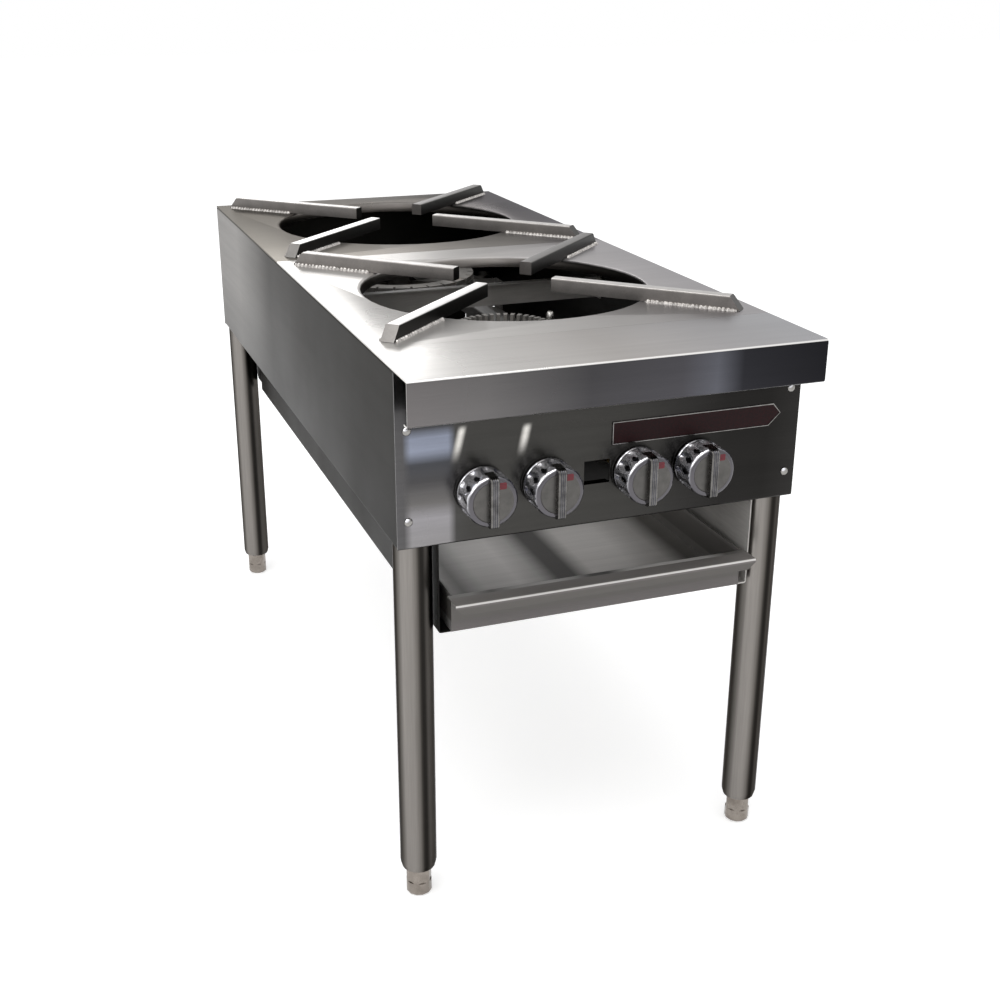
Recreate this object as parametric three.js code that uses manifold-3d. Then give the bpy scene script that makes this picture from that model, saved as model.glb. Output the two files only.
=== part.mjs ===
// Two-burner stock pot range, front to back, on four tube legs.
// Millimetres, +Z up. Inside the group Y is measured from the apron's front face towards the back;
// the group then shifts so that the origin is the middle of the footprint, on the floor.
import * as THREE from 'three';
import { mergeVertices } from 'three/addons/utils/BufferGeometryUtils.js';
import Module from 'manifold-3d';

const wasm = await Module();
wasm.setup();

// ---- Driving dimensions -------------------------------------------------------------------------
const bodyWidth = 457;          // over the side panels
const rangeHeight = 624;        // floor to the cooking surface
const ledgeDepth = 121;         // plain shelf in front of the first burner
const plateDepth = 452;         // each top plate, front to back
const apronHeight = 47;
const apronOverhang = 44;       // apron face to control panel face
const apronReturn = 12;

const gauge = 1.5;              // panel sheet
const topGauge = 2;             // top and ledge sheet
const bendRadius = 1.5;         // inside radius of every fold
const fitGap = 0.3;             // between pieces that touch

const openingRadius = 172;
const collarDepth = 14;
const plateFlangeDepth = 14;

const armInnerReach = 64;       // burner centre to the square inner end of an arm
const armPlateEdge = 13.9;      // arm's outer corners to the edge of the plate
const armWidth = 15.9;
const armHeight = 15.9;
const armEdgeRadius = 2;
const armSlopeRun = 13;
const openingRoll = 4;          // outside radius of the rolled edge

const panelTopFlange = 22;
const panelBottomFlange = 16;
const panelEndFlange = 22;
const controlTopFlange = 18;
const controlBottomFlange = 14;

const legRadius = 20.5;
const legWall = 1.6;
const legSideGap = 0.5;         // leg to the inside of the side panel
const legRise = 56;             // how far a leg reaches up into the box
const legFlangeGap = 0.7;       // leg to the side panel's end flange
const legNotchGap = 2;
const legNeckRadius = 18.6;
const legNeckHeight = 7;
const legPlugHeight = 22;
const footHeight = 35;
const footRadius = 14.6;
const footAcrossFlats = 26.5;
const footStemRadius = 7.5;
const footStemLength = 50;

const bracketShieldGap = 1.7;   // wing of a leg bracket to the heat shield's end flange
const bracketThickness = 3;
const bracketHeight = 48;

const runnerLegSideGap = 1.5;   // runner's outer face to the legs
const runnerDrop = 104;         // lower edge of the box to the runner's lower face
const runnerLedge = 24;
const runnerSetback = 8;        // control panel face to the runners' front ends
const runnerLegGap = 1;         // runner's back end to the rear leg bracket
const traySideGap = 11.5;       // runner's inner face to the tray's side
const trayBackGap = 5.7;        // tray's back to the runners' back ends
const trayHeight = 42.5;
const traySetback = 4;          // control panel face to the tray's front wall
const trayLipReach = 28;        // how far the front flange stands forward
const trayLipDrop = 11.5;
const trayLipOverhang = 4;      // front flange beyond each side of the tray

const leftKnobInset = 89.5;     // left side of the body to the first knob
const leftKnobPitch = 72;
const rightKnobInset = 122.5;   // right side of the body to the last knob
const rightKnobPitch = 71;
const knobSkirtRadius = 28;
const knobFaceRadius = 27.5;
const knobDepth = 35;
const knobDimpleCount = 12;
const knobDimpleWidth = 11;
const knobDimpleLength = 20;    // along the knob's axis
const knobDimpleDepth = 4;
const knobGripWidth = 10;
const knobGripHeight = 7;
const knobPanelGap = 1.2;
const stemRadius = 4;
const stemInKnob = 18;
const stemInValve = 8;
const stemHoleRadius = 7;

const windowWidth = 29;
const windowHeight = 26;
const windowOffset = 5;         // pilot window right of the middle between the inner knobs
const windowRise = 4;           // knob axes to the middle of the pilot window
const windowFlap = 9;

const pipeRadius = 13.35;
const pipeWall = 3;
const pipeBoreDepth = 30;
const manifoldSetback = 36;     // control panel face to the manifold's axis
const manifoldRise = 18;        // lower edge of the box to the manifold's axis
const manifoldLegGap = 10;      // capped end of the manifold to the front left leg
const manifoldCapWall = 3.5;
const manifoldCapLength = 18;
const elbowRadius = 20;
const elbowBodyRadius = 17.5;
const elbowLegGap = 3;          // elbow to the front right leg
const inletProjection = 42;     // gas inlet beyond the back panel
const leftBracketReach = 16;    // outer knobs to the manifold's brackets, on their right
const rightBracketReach = 14;
const manifoldBracketRim = 5;
const manifoldBracketFoot = 16;
const manifoldBracketThickness = 3;

const valveRise = 36;           // manifold's axis to the knob axes
const valveRadius = 12;
const valveLength = 32;
const bonnetRadius = 9;
const bonnetLength = 10;
const hoodRadius = 7.5;
const hoodLength = 13;
const nippleRadius = 6;
const orificeGap = 8;           // orifice hood to the mouth of the mixing tube

const shieldTopDrop = 22;
const shieldBottomRise = 6;
const baffleTopDrop = 49;       // middle baffle stays this far under the cooking surface
const baffleDepth = 32;
const baffleFlange = 15;
const holeClearance = 1.5;

const railPassGap = 16;         // rear head's mixing tube to a burner rail's web
const railTubeOverlap = 2;      // how far inside the axis of the front head's tube a web stands at least
const railFlange = 20;
const railHeight = 17;
const railDrop = 99.3;          // cooking surface to the burner rails
const railMouthGap = 0.7;       // underside of a rail to the mouths of the mixing tubes

const ringRailGap = 6;          // outer edge of a rail to the inside of the ring, across the range
const ringWidth = 24;
const ringHeight = 24;
const ringPortCount = 28;
const headRadius = 62;
const headTopDrop = 49;         // cooking surface to the top of the centre head
const headHeight = 24;
const headPortCount = 40;       // an even number, two to a cut
const headPortHeight = 10;
const headRimWall = 9;
const headFootWidth = 18;
const headFootHeight = 7;
const riserRadius = 17;
const mixingTubeRadius = 14;
const mixingTubeBore = 11;
const mixingMouthRadius = 19;
const mixingMouthLength = 16;
const mixingBendRadius = 60;
const ringTubeTurn = 131;       // burner centre to where the ring's tube leaves its straight run
const headTubeTurn = 151;       // the same for the centre head's tube
const ringTubeRailGap = 1;
const headTubePassGap = 4;      // rear head's tube to the front head's riser
const headTubePassRun = 60;     // how far in front of that riser it runs straight
const ringTubeSeat = 4;         // ring's underside to the axis of the tube that feeds it
const portDepth = 9;
const portHeight = 7;
const ringPortWidth = 3.5;
const headPortWidth = 4.2;
const rimStep = 1;              // slotted rim inside the edge of the casting below it

const pilotSetback = 18;        // pilot stands this far behind the burner centre
const pilotTubeRadius = 3;
const pilotTipRadius = 5;
const pilotTipLength = 16;
const pilotTopDrop = 42;
const pilotHeadGap = 3.5;       // pilot's tip to the centre head
const pilotBend = 16;

// ---- Places worked out from them ----------------------------------------------------------------
const halfWidth = bodyWidth / 2;
const bodyDepth = ledgeDepth + 2 * plateDepth;
const overallDepth = bodyDepth + inletProjection;
const railTop = rangeHeight - railDrop;
const knobZ = railTop - railHeight - railMouthGap - mixingMouthRadius;
const manifoldZ = knobZ - valveRise;
const boxBottom = manifoldZ - manifoldRise;
const underTop = rangeHeight - topGauge;
const panelTop = underTop - fitGap;
const innerHalf = halfWidth - gauge;
const controlFaceY = apronOverhang;
const controlBackY = controlFaceY + gauge;
const shieldY = ledgeDepth + baffleFlange;
const sideFrontY = controlBackY + fitGap;
const backFrontY = bodyDepth - gauge;
const sideBackY = backFrontY - fitGap;
const frontBurnerY = ledgeDepth + plateDepth / 2;
const rearBurnerY = frontBurnerY + plateDepth;
const seamY = ledgeDepth + plateDepth;
const legX = innerHalf - legSideGap - legRadius;
const frontLegY = sideFrontY + gauge + legRadius + legFlangeGap;
const rearLegY = sideBackY - gauge - legRadius - legFlangeGap;
const legTop = boxBottom + legRise;
const knobPositions = [
  -halfWidth + leftKnobInset,
  -halfWidth + leftKnobInset + leftKnobPitch,
  halfWidth - rightKnobInset - rightKnobPitch,
  halfWidth - rightKnobInset,
];
const windowX = (knobPositions[1] + knobPositions[2]) / 2 + windowOffset;
const manifoldY = controlFaceY + manifoldSetback;
const valveFrontY = manifoldY - valveLength / 2;
const hoodEndY = manifoldY + valveLength / 2 + hoodLength;
const mixingMouthY = hoodEndY + orificeGap;
const ringBottom = railTop + fitGap;
const baffleTop = rangeHeight - baffleTopDrop;
const headTop = rangeHeight - headTopDrop;
const runnerOuterX = legX - legRadius - runnerLegSideGap;
const runnerBottom = boxBottom - runnerDrop;
const runnerFlangeBase = boxBottom + gauge + fitGap;
const runnerFrontY = controlFaceY + runnerSetback;
const runnerBackY = rearLegY - legRadius - fitGap - bracketThickness - runnerLegGap;
const trayHalf = runnerOuterX - gauge - traySideGap;
const trayFrontY = controlFaceY + traySetback;
const trayBackY = runnerBackY - trayBackGap;
const trayBottom = runnerBottom + gauge + fitGap;
const trayTop = trayBottom + trayHeight;
const legNotchReach = legRadius + legNotchGap;
const bracketBase = runnerFlangeBase + gauge + 2 * fitGap;
const manifoldLeftX = -legX + legRadius + manifoldLegGap + manifoldCapWall;
const headTubePassX = riserRadius + headTubePassGap + mixingTubeRadius;
const railX = Math.max(headTubePassX + mixingTubeRadius + railPassGap, -knobPositions[1] - railTubeOverlap);
const ringInnerRadius = railX + railFlange + ringRailGap;
const ringOuterRadius = ringInnerRadius + ringWidth;
const supplyX = legX - legRadius - elbowLegGap - elbowBodyRadius;
const knobBackY = controlFaceY - knobPanelGap;
const panelFlangeHalf = Math.min(legX - legNotchReach, runnerOuterX - gauge - bendRadius - fitGap);
const armEnd = (Math.min(halfWidth, plateDepth / 2) - armPlateEdge) * Math.SQRT2 - armWidth / 2;
const armSlopeStart = armEnd - armSlopeRun;
const pilotX = (headTubePassX + mixingTubeRadius + railX) / 2;
const pilotReach = headRadius + pilotHeadGap + pilotTipRadius;
const pilotTipX = Math.max(pilotX, Math.sqrt(pilotReach * pilotReach - pilotSetback * pilotSetback));
const ringJoinX = railX + railFlange + ringTubeRailGap + mixingTubeRadius;
const ringRunX = [knobPositions[0], knobPositions[3]].map(
  (x) => Math.sign(x) * Math.max(Math.abs(x), ringJoinX));

// ---- Materials ----------------------------------------------------------------------------------
const finishes = {
  brushed: { color: '#a5a39e', roughness: 0.36, metalness: 1 },
  brightTop: { color: '#cfcdc9', roughness: 0.3, metalness: 1 },
  darkSheet: { color: '#6f6d69', roughness: 0.45, metalness: 1 },
  chrome: { color: '#dcdce2', roughness: 0.1, metalness: 1 },
  castIron: { color: '#2c2b2a', roughness: 0.75, metalness: 0.6 },
  brass: { color: '#b39146', roughness: 0.35, metalness: 1 },
  blackPipe: { color: '#3a3937', roughness: 0.55, metalness: 0.8 },
};

const range = new THREE.Group();
range.position.y = -overallDepth / 2;

function place(name, geometry, finish, parent = range) {
  const mesh = new THREE.Mesh(geometry, new THREE.MeshStandardMaterial(finishes[finish]));
  mesh.name = name;
  parent.add(mesh);
  return mesh;
}

// ---- Solids and cuts ----------------------------------------------------------------------------
function toSolid(geometry) {
  const plain = geometry.clone();
  plain.deleteAttribute('normal');
  plain.deleteAttribute('uv');
  const merged = mergeVertices(plain, 1e-4);
  return new wasm.Manifold(new wasm.Mesh({
    numProp: 3,
    vertProperties: Float32Array.from(merged.attributes.position.array),
    triVerts: Uint32Array.from(merged.index.array),
  }));
}

function toGeometry(solid) {
  const mesh = solid.getMesh();
  const geometry = new THREE.BufferGeometry();
  geometry.setAttribute('position', new THREE.BufferAttribute(Float32Array.from(mesh.vertProperties), 3));
  geometry.setIndex(new THREE.BufferAttribute(Uint32Array.from(mesh.triVerts), 1));
  const flat = geometry.toNonIndexed();
  flat.computeVertexNormals();
  return flat;
}

// Joins the first list of geometries, then cuts away the second.
function build(added, removed = []) {
  let solid = toSolid(added[0]);
  for (const piece of added.slice(1)) solid = solid.add(toSolid(piece));
  for (const piece of removed) solid = solid.subtract(toSolid(piece));
  return toGeometry(solid);
}

function mirrored(geometry) {
  const flipped = mergeVertices(stripped(geometry), 1e-4);
  flipped.scale(-1, 1, 1);
  const index = flipped.index.array;
  for (let i = 0; i < index.length; i += 3) [index[i], index[i + 1]] = [index[i + 1], index[i]];
  const flat = flipped.toNonIndexed();
  flat.computeVertexNormals();
  return flat;
}

function stripped(geometry) {
  const plain = geometry.clone();
  plain.deleteAttribute('normal');
  plain.deleteAttribute('uv');
  return plain;
}

function box(x0, x1, y0, y1, z0, z1) {
  const geometry = new THREE.BoxGeometry(x1 - x0, y1 - y0, z1 - z0);
  return geometry.translate((x0 + x1) / 2, (y0 + y1) / 2, (z0 + z1) / 2);
}

function extruded(shape, length, curveSegments = 8) {
  return new THREE.ExtrudeGeometry(shape, { depth: length, bevelEnabled: false, curveSegments });
}

// A shape drawn in (Y, Z), drawn out along X.
function alongX(shape, x0, x1, curveSegments) {
  const turn = new THREE.Matrix4().makeBasis(
    new THREE.Vector3(0, 1, 0), new THREE.Vector3(0, 0, 1), new THREE.Vector3(1, 0, 0));
  return extruded(shape, x1 - x0, curveSegments).applyMatrix4(turn).translate(x0, 0, 0);
}

// A shape drawn in (X, Z), drawn out along Y.
function alongY(shape, y0, y1, curveSegments) {
  const turn = new THREE.Matrix4().makeBasis(
    new THREE.Vector3(1, 0, 0), new THREE.Vector3(0, 0, 1), new THREE.Vector3(0, -1, 0));
  return extruded(shape, y1 - y0, curveSegments).applyMatrix4(turn).translate(0, y1, 0);
}

function alongZ(shape, z0, z1, curveSegments) {
  return extruded(shape, z1 - z0, curveSegments).translate(0, 0, z0);
}

// A profile of [radius, height] pairs turned about Z.
function turned(profile, segments) {
  const points = profile.map(([radius, height]) => new THREE.Vector2(radius, height));
  return new THREE.LatheGeometry(points, segments).rotateX(Math.PI / 2);
}

// The same, turned about Y, with the heights measured along +Y.
function turnedAboutY(profile, segments) {
  const points = profile.map(([radius, along]) => new THREE.Vector2(radius, along));
  return new THREE.LatheGeometry(points, segments);
}

function circleShape(radius, segments) {
  const points = [];
  for (let i = 0; i < segments; i += 1) {
    const angle = (i / segments) * 2 * Math.PI;
    points.push(new THREE.Vector2(radius * Math.cos(angle), radius * Math.sin(angle)));
  }
  return new THREE.Shape(points);
}

// A route of straight runs with round bends: one ring of the tube at each listed point.
class BentRoute extends THREE.Curve {
  constructor(corners, radius, bendSteps) {
    super();
    const places = corners.map((corner) => new THREE.Vector3(...corner));
    this.stops = [places[0]];
    for (let i = 1; i < places.length - 1; i += 1) {
      const before = places[i].clone().sub(places[i - 1]).normalize();
      const after = places[i + 1].clone().sub(places[i]).normalize();
      const angle = before.angleTo(after);
      if (angle < 1e-3) {
        this.stops.push(places[i]);
        continue;
      }
      const setback = radius * Math.tan(angle / 2);
      const start = places[i].clone().addScaledVector(before, -setback);
      const end = places[i].clone().addScaledVector(after, setback);
      const arc = new THREE.QuadraticBezierCurve3(start, places[i], end);
      this.stops.push(...arc.getPoints(bendSteps));
    }
    this.stops.push(places[places.length - 1]);
  }

  get steps() {
    return this.stops.length - 1;
  }

  getPoint(t, target = new THREE.Vector3()) {
    const along = Math.min(Math.max(t, 0), 1) * this.steps;
    const index = Math.min(Math.floor(along), this.steps - 1);
    return target.lerpVectors(this.stops[index], this.stops[index + 1], along - index);
  }

  getUtoTmapping(u) {
    return u;
  }
}

// Round tube, solid inside, along a bent route.
function sweptRound(corners, radius, bend, bendSteps = 4, sides = 12) {
  const route = new BentRoute(corners, bend, bendSteps);
  return new THREE.ExtrudeGeometry(circleShape(radius, sides), { extrudePath: route, steps: route.steps });
}

// Outline of a sheet folded along a path. The sheet lies to the left of the path, and each fold
// has the shop's inside radius.
function foldedSheet(path, thickness = gauge, segments = 3) {
  const face = [];
  const other = [];
  const count = path.length;
  for (let i = 0; i < count; i += 1) {
    const here = new THREE.Vector2(...path[i]);
    const before = i > 0 ? here.clone().sub(new THREE.Vector2(...path[i - 1])).normalize() : null;
    const after = i < count - 1 ? new THREE.Vector2(...path[i + 1]).sub(here).normalize() : null;
    if (!before || !after) {
      const along = before || after;
      const left = new THREE.Vector2(-along.y, along.x);
      face.push(here);
      other.push(here.clone().addScaledVector(left, thickness));
      continue;
    }
    const turn = Math.atan2(before.cross(after), before.dot(after));
    const toLeft = turn > 0;
    const faceRadius = toLeft ? bendRadius + thickness : bendRadius;
    const otherRadius = toLeft ? bendRadius : bendRadius + thickness;
    const side = toLeft ? 1 : -1;
    const setback = faceRadius * Math.tan(Math.abs(turn) / 2);
    const start = here.clone().addScaledVector(before, -setback);
    const inward = new THREE.Vector2(-before.y, before.x).multiplyScalar(side);
    const centre = start.clone().addScaledVector(inward, faceRadius);
    for (let step = 0; step <= segments; step += 1) {
      const spoke = inward.clone().negate().rotateAround(new THREE.Vector2(), (turn * step) / segments);
      face.push(centre.clone().addScaledVector(spoke, faceRadius));
      other.push(centre.clone().addScaledVector(spoke, otherRadius));
    }
  }
  return new THREE.Shape([...face, ...other.reverse()]);
}

// ---- Side, back and front of the box ------------------------------------------------------------
function leftSidePanel() {
  const section = foldedSheet([
    [-halfWidth + panelTopFlange, panelTop],
    [-halfWidth, panelTop],
    [-halfWidth, boxBottom],
    [-halfWidth + panelBottomFlange, boxBottom],
  ]);
  const flangeX = -halfWidth + panelEndFlange;
  const flangeBase = boxBottom + bendRadius + gauge;
  const flangeTop = panelTop - bendRadius - gauge;
  const notchInner = -halfWidth + panelBottomFlange + 1;
  const notchTop = boxBottom + gauge + bendRadius;
  const notch = (y0, y1) => box(-innerHalf + 0.1, notchInner, y0, y1, boxBottom - 1, notchTop);
  return build([
    alongY(section, sideFrontY, sideBackY),
    box(-halfWidth + gauge / 2, flangeX, sideFrontY, sideFrontY + gauge, flangeBase, flangeTop),
    box(-halfWidth + gauge / 2, flangeX, sideBackY - gauge, sideBackY, flangeBase, flangeTop),
  ], [
    notch(sideFrontY - 1, frontLegY + legNotchReach),
    notch(rearLegY - legNotchReach, sideBackY + 1),
  ]);
}

function backPanel() {
  const section = foldedSheet([
    [bodyDepth - panelBottomFlange, boxBottom],
    [bodyDepth, boxBottom],
    [bodyDepth, panelTop],
    [bodyDepth - panelTopFlange, panelTop],
  ]);
  const flangeHalf = halfWidth - panelTopFlange - 2;
  const legHalf = panelFlangeHalf;
  const inlet = new THREE.CylinderGeometry(pipeRadius + holeClearance, pipeRadius + holeClearance, 20, 20);
  inlet.translate(supplyX, bodyDepth, manifoldZ);
  const corner = (side, half, z0, z1) => {
    const xs = side < 0 ? [-halfWidth - 1, -half] : [half, halfWidth + 1];
    return box(...xs, bodyDepth - panelTopFlange - 1, backFrontY, z0, z1);
  };
  return build([alongX(section, -halfWidth, halfWidth)], [
    inlet,
    corner(-1, flangeHalf, boxBottom + 20, panelTop + 1),
    corner(1, flangeHalf, boxBottom + 20, panelTop + 1),
    corner(-1, legHalf, boxBottom - 1, boxBottom + 20),
    corner(1, legHalf, boxBottom - 1, boxBottom + 20),
  ]);
}

function frontControlPanel() {
  const section = foldedSheet([
    [controlFaceY + controlTopFlange, panelTop],
    [controlFaceY, panelTop],
    [controlFaceY, boxBottom],
    [controlFaceY + controlBottomFlange, boxBottom],
  ]);
  const flangeHalf = halfWidth - panelTopFlange - 2;
  const legHalf = panelFlangeHalf;
  const windowZ = knobZ + windowRise;
  const windowLeft = windowX - windowWidth / 2;
  const windowRight = windowX + windowWidth / 2;
  const windowBase = windowZ - windowHeight / 2;
  const corner = (side, half, z0, z1) => {
    const xs = side < 0 ? [-halfWidth - 1, -half] : [half, halfWidth + 1];
    return box(...xs, controlBackY, controlFaceY + controlTopFlange + 1, z0, z1);
  };
  const stemHoles = knobPositions.map((x) => {
    const hole = new THREE.CylinderGeometry(stemHoleRadius, stemHoleRadius, 20, 16);
    return hole.translate(x, controlFaceY, knobZ);
  });
  const flap = box(windowLeft, windowRight, controlFaceY + gauge / 2, controlBackY + windowFlap,
    windowBase - gauge, windowBase);
  return build([alongX(section, -halfWidth, halfWidth), flap], [
    ...stemHoles,
    box(windowLeft, windowRight, controlFaceY - 5, controlBackY + 5, windowBase, windowZ + windowHeight / 2),
    corner(-1, flangeHalf, boxBottom + 20, panelTop + 1),
    corner(1, flangeHalf, boxBottom + 20, panelTop + 1),
    corner(-1, legHalf, boxBottom - 1, boxBottom + 20),
    corner(1, legHalf, boxBottom - 1, boxBottom + 20),
  ]);
}

function frontLedge() {
  const section = foldedSheet([
    [ledgeDepth - fitGap / 2, rangeHeight],
    [0, rangeHeight],
    [0, rangeHeight - apronHeight],
    [apronReturn, rangeHeight - apronHeight],
  ], topGauge, 4);
  return alongX(section, -halfWidth, halfWidth);
}

// ---- Top plates with their rolled openings, and the welded pot-rest arms --------------------------
function topPlate(centreY) {
  const segments = 48;
  const rollRadius = openingRoll;
  const frontY = centreY - plateDepth / 2 + fitGap / 2;
  const backY = centreY + plateDepth / 2 - fitGap / 2;
  const flangeBackY = Math.min(backY, bodyDepth - panelTopFlange - 1);
  const flangeHalf = halfWidth - panelTopFlange - 4;
  const cutRadius = openingRadius + rollRadius;
  const cutter = new THREE.CylinderGeometry(cutRadius, cutRadius, 30, segments);
  cutter.rotateX(Math.PI / 2).translate(0, centreY, rangeHeight);
  const roll = [];
  for (let step = 0; step <= 2; step += 1) {
    const angle = (step / 2) * (Math.PI / 2);
    roll.push([Math.sin(angle), Math.cos(angle)]);
  }
  const outer = roll.map(([s, c]) => [cutRadius - rollRadius * s, rangeHeight - rollRadius + rollRadius * c]);
  const innerRoll = rollRadius - topGauge;
  const inner = roll.map(([s, c]) => [cutRadius - innerRoll * s, rangeHeight - rollRadius + innerRoll * c]);
  const collarBase = rangeHeight - collarDepth;
  const profile = [
    [cutRadius + 0.5, rangeHeight],
    ...outer,
    [openingRadius, collarBase],
    [openingRadius + topGauge, collarBase],
    ...inner.reverse(),
    [cutRadius + 0.5, underTop],
    [cutRadius + 0.5, rangeHeight],
  ];
  const collar = turned(profile, segments).translate(0, centreY, 0);
  const sheet = build([
    box(-halfWidth, halfWidth, frontY, backY, underTop, rangeHeight),
    box(-flangeHalf, flangeHalf, frontY, frontY + topGauge, rangeHeight - plateFlangeDepth, underTop + 0.5),
    box(-flangeHalf, flangeHalf, flangeBackY - topGauge, flangeBackY, rangeHeight - plateFlangeDepth,
      underTop + 0.5),
  ], [cutter]);
  return build([sheet, collar]);
}

// One bar, drawn along +X from the burner centre, with rounded upper edges and a sloped outer end.
function potRestArm() {
  const half = armWidth / 2;
  const section = new THREE.Shape();
  section.moveTo(-half, 0);
  section.lineTo(half, 0);
  section.lineTo(half, armHeight - armEdgeRadius);
  section.absarc(half - armEdgeRadius, armHeight - armEdgeRadius, armEdgeRadius, 0, Math.PI / 2, false);
  section.absarc(-half + armEdgeRadius, armHeight - armEdgeRadius, armEdgeRadius,
    Math.PI / 2, Math.PI, false);
  section.closePath();
  const slope = new THREE.Shape([
    new THREE.Vector2(armSlopeStart, armHeight),
    new THREE.Vector2(armSlopeStart, armHeight + 5),
    new THREE.Vector2(armEnd + 5, armHeight + 5),
    new THREE.Vector2(armEnd + 5, 0),
    new THREE.Vector2(armEnd, 0),
  ]);
  const cutter = alongY(slope, -armWidth, armWidth);
  return build([alongX(section, armInnerReach, armEnd, 2)], [cutter]);
}

// ---- Legs, feet and the angles that hold the legs -------------------------------------------------
function leg() {
  const base = footHeight + fitGap;
  const bore = footStemRadius + fitGap;
  return turned([
    [bore, base],
    [legNeckRadius, base],
    [legRadius, base + legNeckHeight],
    [legRadius, legTop],
    [legRadius - legWall, legTop],
    [legRadius - legWall, base + legPlugHeight],
    [bore, base + legPlugHeight],
    [bore, base],
  ], 20);
}

function adjustableFoot() {
  const chamfer = 2;
  const flatsTop = footHeight;
  const flatsBase = footHeight * 0.45;
  const body = turned([
    [0, 0],
    [footRadius - chamfer, 0],
    [footRadius, chamfer],
    [footRadius, flatsTop - chamfer],
    [footRadius - chamfer, flatsTop],
    [footStemRadius, flatsTop],
    [footStemRadius, flatsTop + footStemLength],
    [0, flatsTop + footStemLength],
  ], 12);
  const flats = [0, 1, 2].map((turn) => {
    const pair = [-1, 1].map((side) => {
      const inner = (footAcrossFlats / 2) * side;
      const outer = inner + 10 * side;
      return box(-20, 20, Math.min(inner, outer), Math.max(inner, outer), flatsBase, flatsTop + 1);
    });
    return pair.map((cut) => cut.rotateZ((turn * Math.PI) / 3));
  }).flat();
  return build([body], flats);
}

// Angle behind a front leg, on the left side panel; the others are mirrored.
function legBracket() {
  const base = bracketBase;
  const wall = -innerHalf + fitGap;
  const legBack = frontLegY + legRadius + fitGap;
  const wingBack = shieldY - baffleFlange - bracketShieldGap;
  const wingEnd = -legX + legRadius;
  return build([
    box(wall, wall + bracketThickness, legBack, wingBack, base, base + bracketHeight),
    box(wall, wingEnd, legBack, legBack + bracketThickness, base, base + bracketHeight),
  ]);
}

// ---- Drip tray and its runners --------------------------------------------------------------------
function leftTrayRunner() {
  const flangeBase = runnerFlangeBase;
  const outer = -runnerOuterX;
  const section = foldedSheet([
    [-innerHalf + bendRadius + fitGap, flangeBase],
    [outer, flangeBase],
    [outer, runnerBottom],
    [outer + runnerLedge, runnerBottom],
  ]);
  const notch = box(-innerHalf - 2, outer - 0.2, runnerFrontY - 1, frontLegY + legNotchReach + 2,
    flangeBase - 6, flangeBase + gauge + 2);
  return build([alongY(section, runnerFrontY, runnerBackY)], [notch]);
}

function dripTray() {
  const half = trayHalf;
  const lipHalf = trayHalf + trayLipOverhang;
  const backY = trayBackY;
  const lipY = trayFrontY - trayLipReach;
  const innerFront = trayFrontY + gauge;
  const lip = foldedSheet([
    [innerFront, trayBottom],
    [innerFront, trayTop],
    [lipY, trayTop],
    [lipY, trayTop - trayLipDrop],
  ]);
  const across = new THREE.Shape([
    new THREE.Vector2(-half, trayBottom),
    new THREE.Vector2(half, trayBottom),
    new THREE.Vector2(half, trayTop),
    new THREE.Vector2(half - gauge, trayTop),
    new THREE.Vector2(half - gauge, trayBottom + gauge),
    new THREE.Vector2(-half + gauge, trayBottom + gauge),
    new THREE.Vector2(-half + gauge, trayTop),
    new THREE.Vector2(-half, trayTop),
  ]);
  const wallTrim = (side) => {
    const xs = side < 0 ? [-lipHalf - 1, -half] : [half, lipHalf + 1];
    return box(...xs, trayFrontY - fitGap, innerFront + 1, trayBottom - 1, trayTop - 2 * gauge);
  };
  const mitre = (side) => {
    const wedge = new THREE.Shape([
      new THREE.Vector2(side * (lipHalf + 1), trayTop - gauge - 1),
      new THREE.Vector2(side * (lipHalf + 1), trayTop - trayLipDrop - 1),
      new THREE.Vector2(side * (lipHalf - trayLipDrop + 1), trayTop - trayLipDrop - 1),
    ]);
    return alongY(wedge, lipY - 1, lipY + gauge + bendRadius);
  };
  return build([
    alongY(across, innerFront - gauge / 2, backY),
    box(-half, half, backY - gauge, backY, trayBottom, trayTop),
    alongX(lip, -lipHalf, lipHalf),
  ], [wallTrim(-1), wallTrim(1), mitre(-1), mitre(1)]);
}

// ---- Shields and burner rails ---------------------------------------------------------------------
function roundHole(x, z, y, radius) {
  return new THREE.CylinderGeometry(radius, radius, 30, 14).translate(x, y, z);
}

function crossSheet(faceY, base, top, flange) {
  const section = foldedSheet([
    [faceY, base],
    [faceY, top],
    [faceY - flange, top],
  ]);
  const ear = (side) => {
    const xs = side < 0 ? [-innerHalf + fitGap, -innerHalf + fitGap + gauge]
      : [innerHalf - fitGap - gauge, innerHalf - fitGap];
    return box(...xs, faceY - flange, faceY, base, top - bendRadius - gauge);
  };
  return [alongX(section, -innerHalf + fitGap, innerHalf - fitGap), ear(-1), ear(1)];
}

function manifoldShield() {
  const base = boxBottom + shieldBottomRise;
  const holes = knobPositions.map((x) => roundHole(x, knobZ, shieldY, mixingMouthRadius + holeClearance));
  return build(crossSheet(shieldY, base, rangeHeight - shieldTopDrop, baffleFlange), [
    ...holes,
    roundHole(supplyX, manifoldZ, shieldY, pipeRadius + holeClearance),
    roundHole(pilotX, manifoldZ, shieldY, pilotTubeRadius + holeClearance),
    roundHole(-pilotX, manifoldZ, shieldY, pilotTubeRadius + holeClearance),
  ]);
}

function middleBaffle() {
  return build(crossSheet(seamY, baffleTop - baffleDepth, baffleTop, baffleFlange));
}

function rightBurnerRail() {
  const section = foldedSheet([
    [railX + railFlange, railTop],
    [railX, railTop],
    [railX, railTop - railHeight],
  ]);
  return alongY(section, shieldY + fitGap, backFrontY - fitGap);
}

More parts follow.
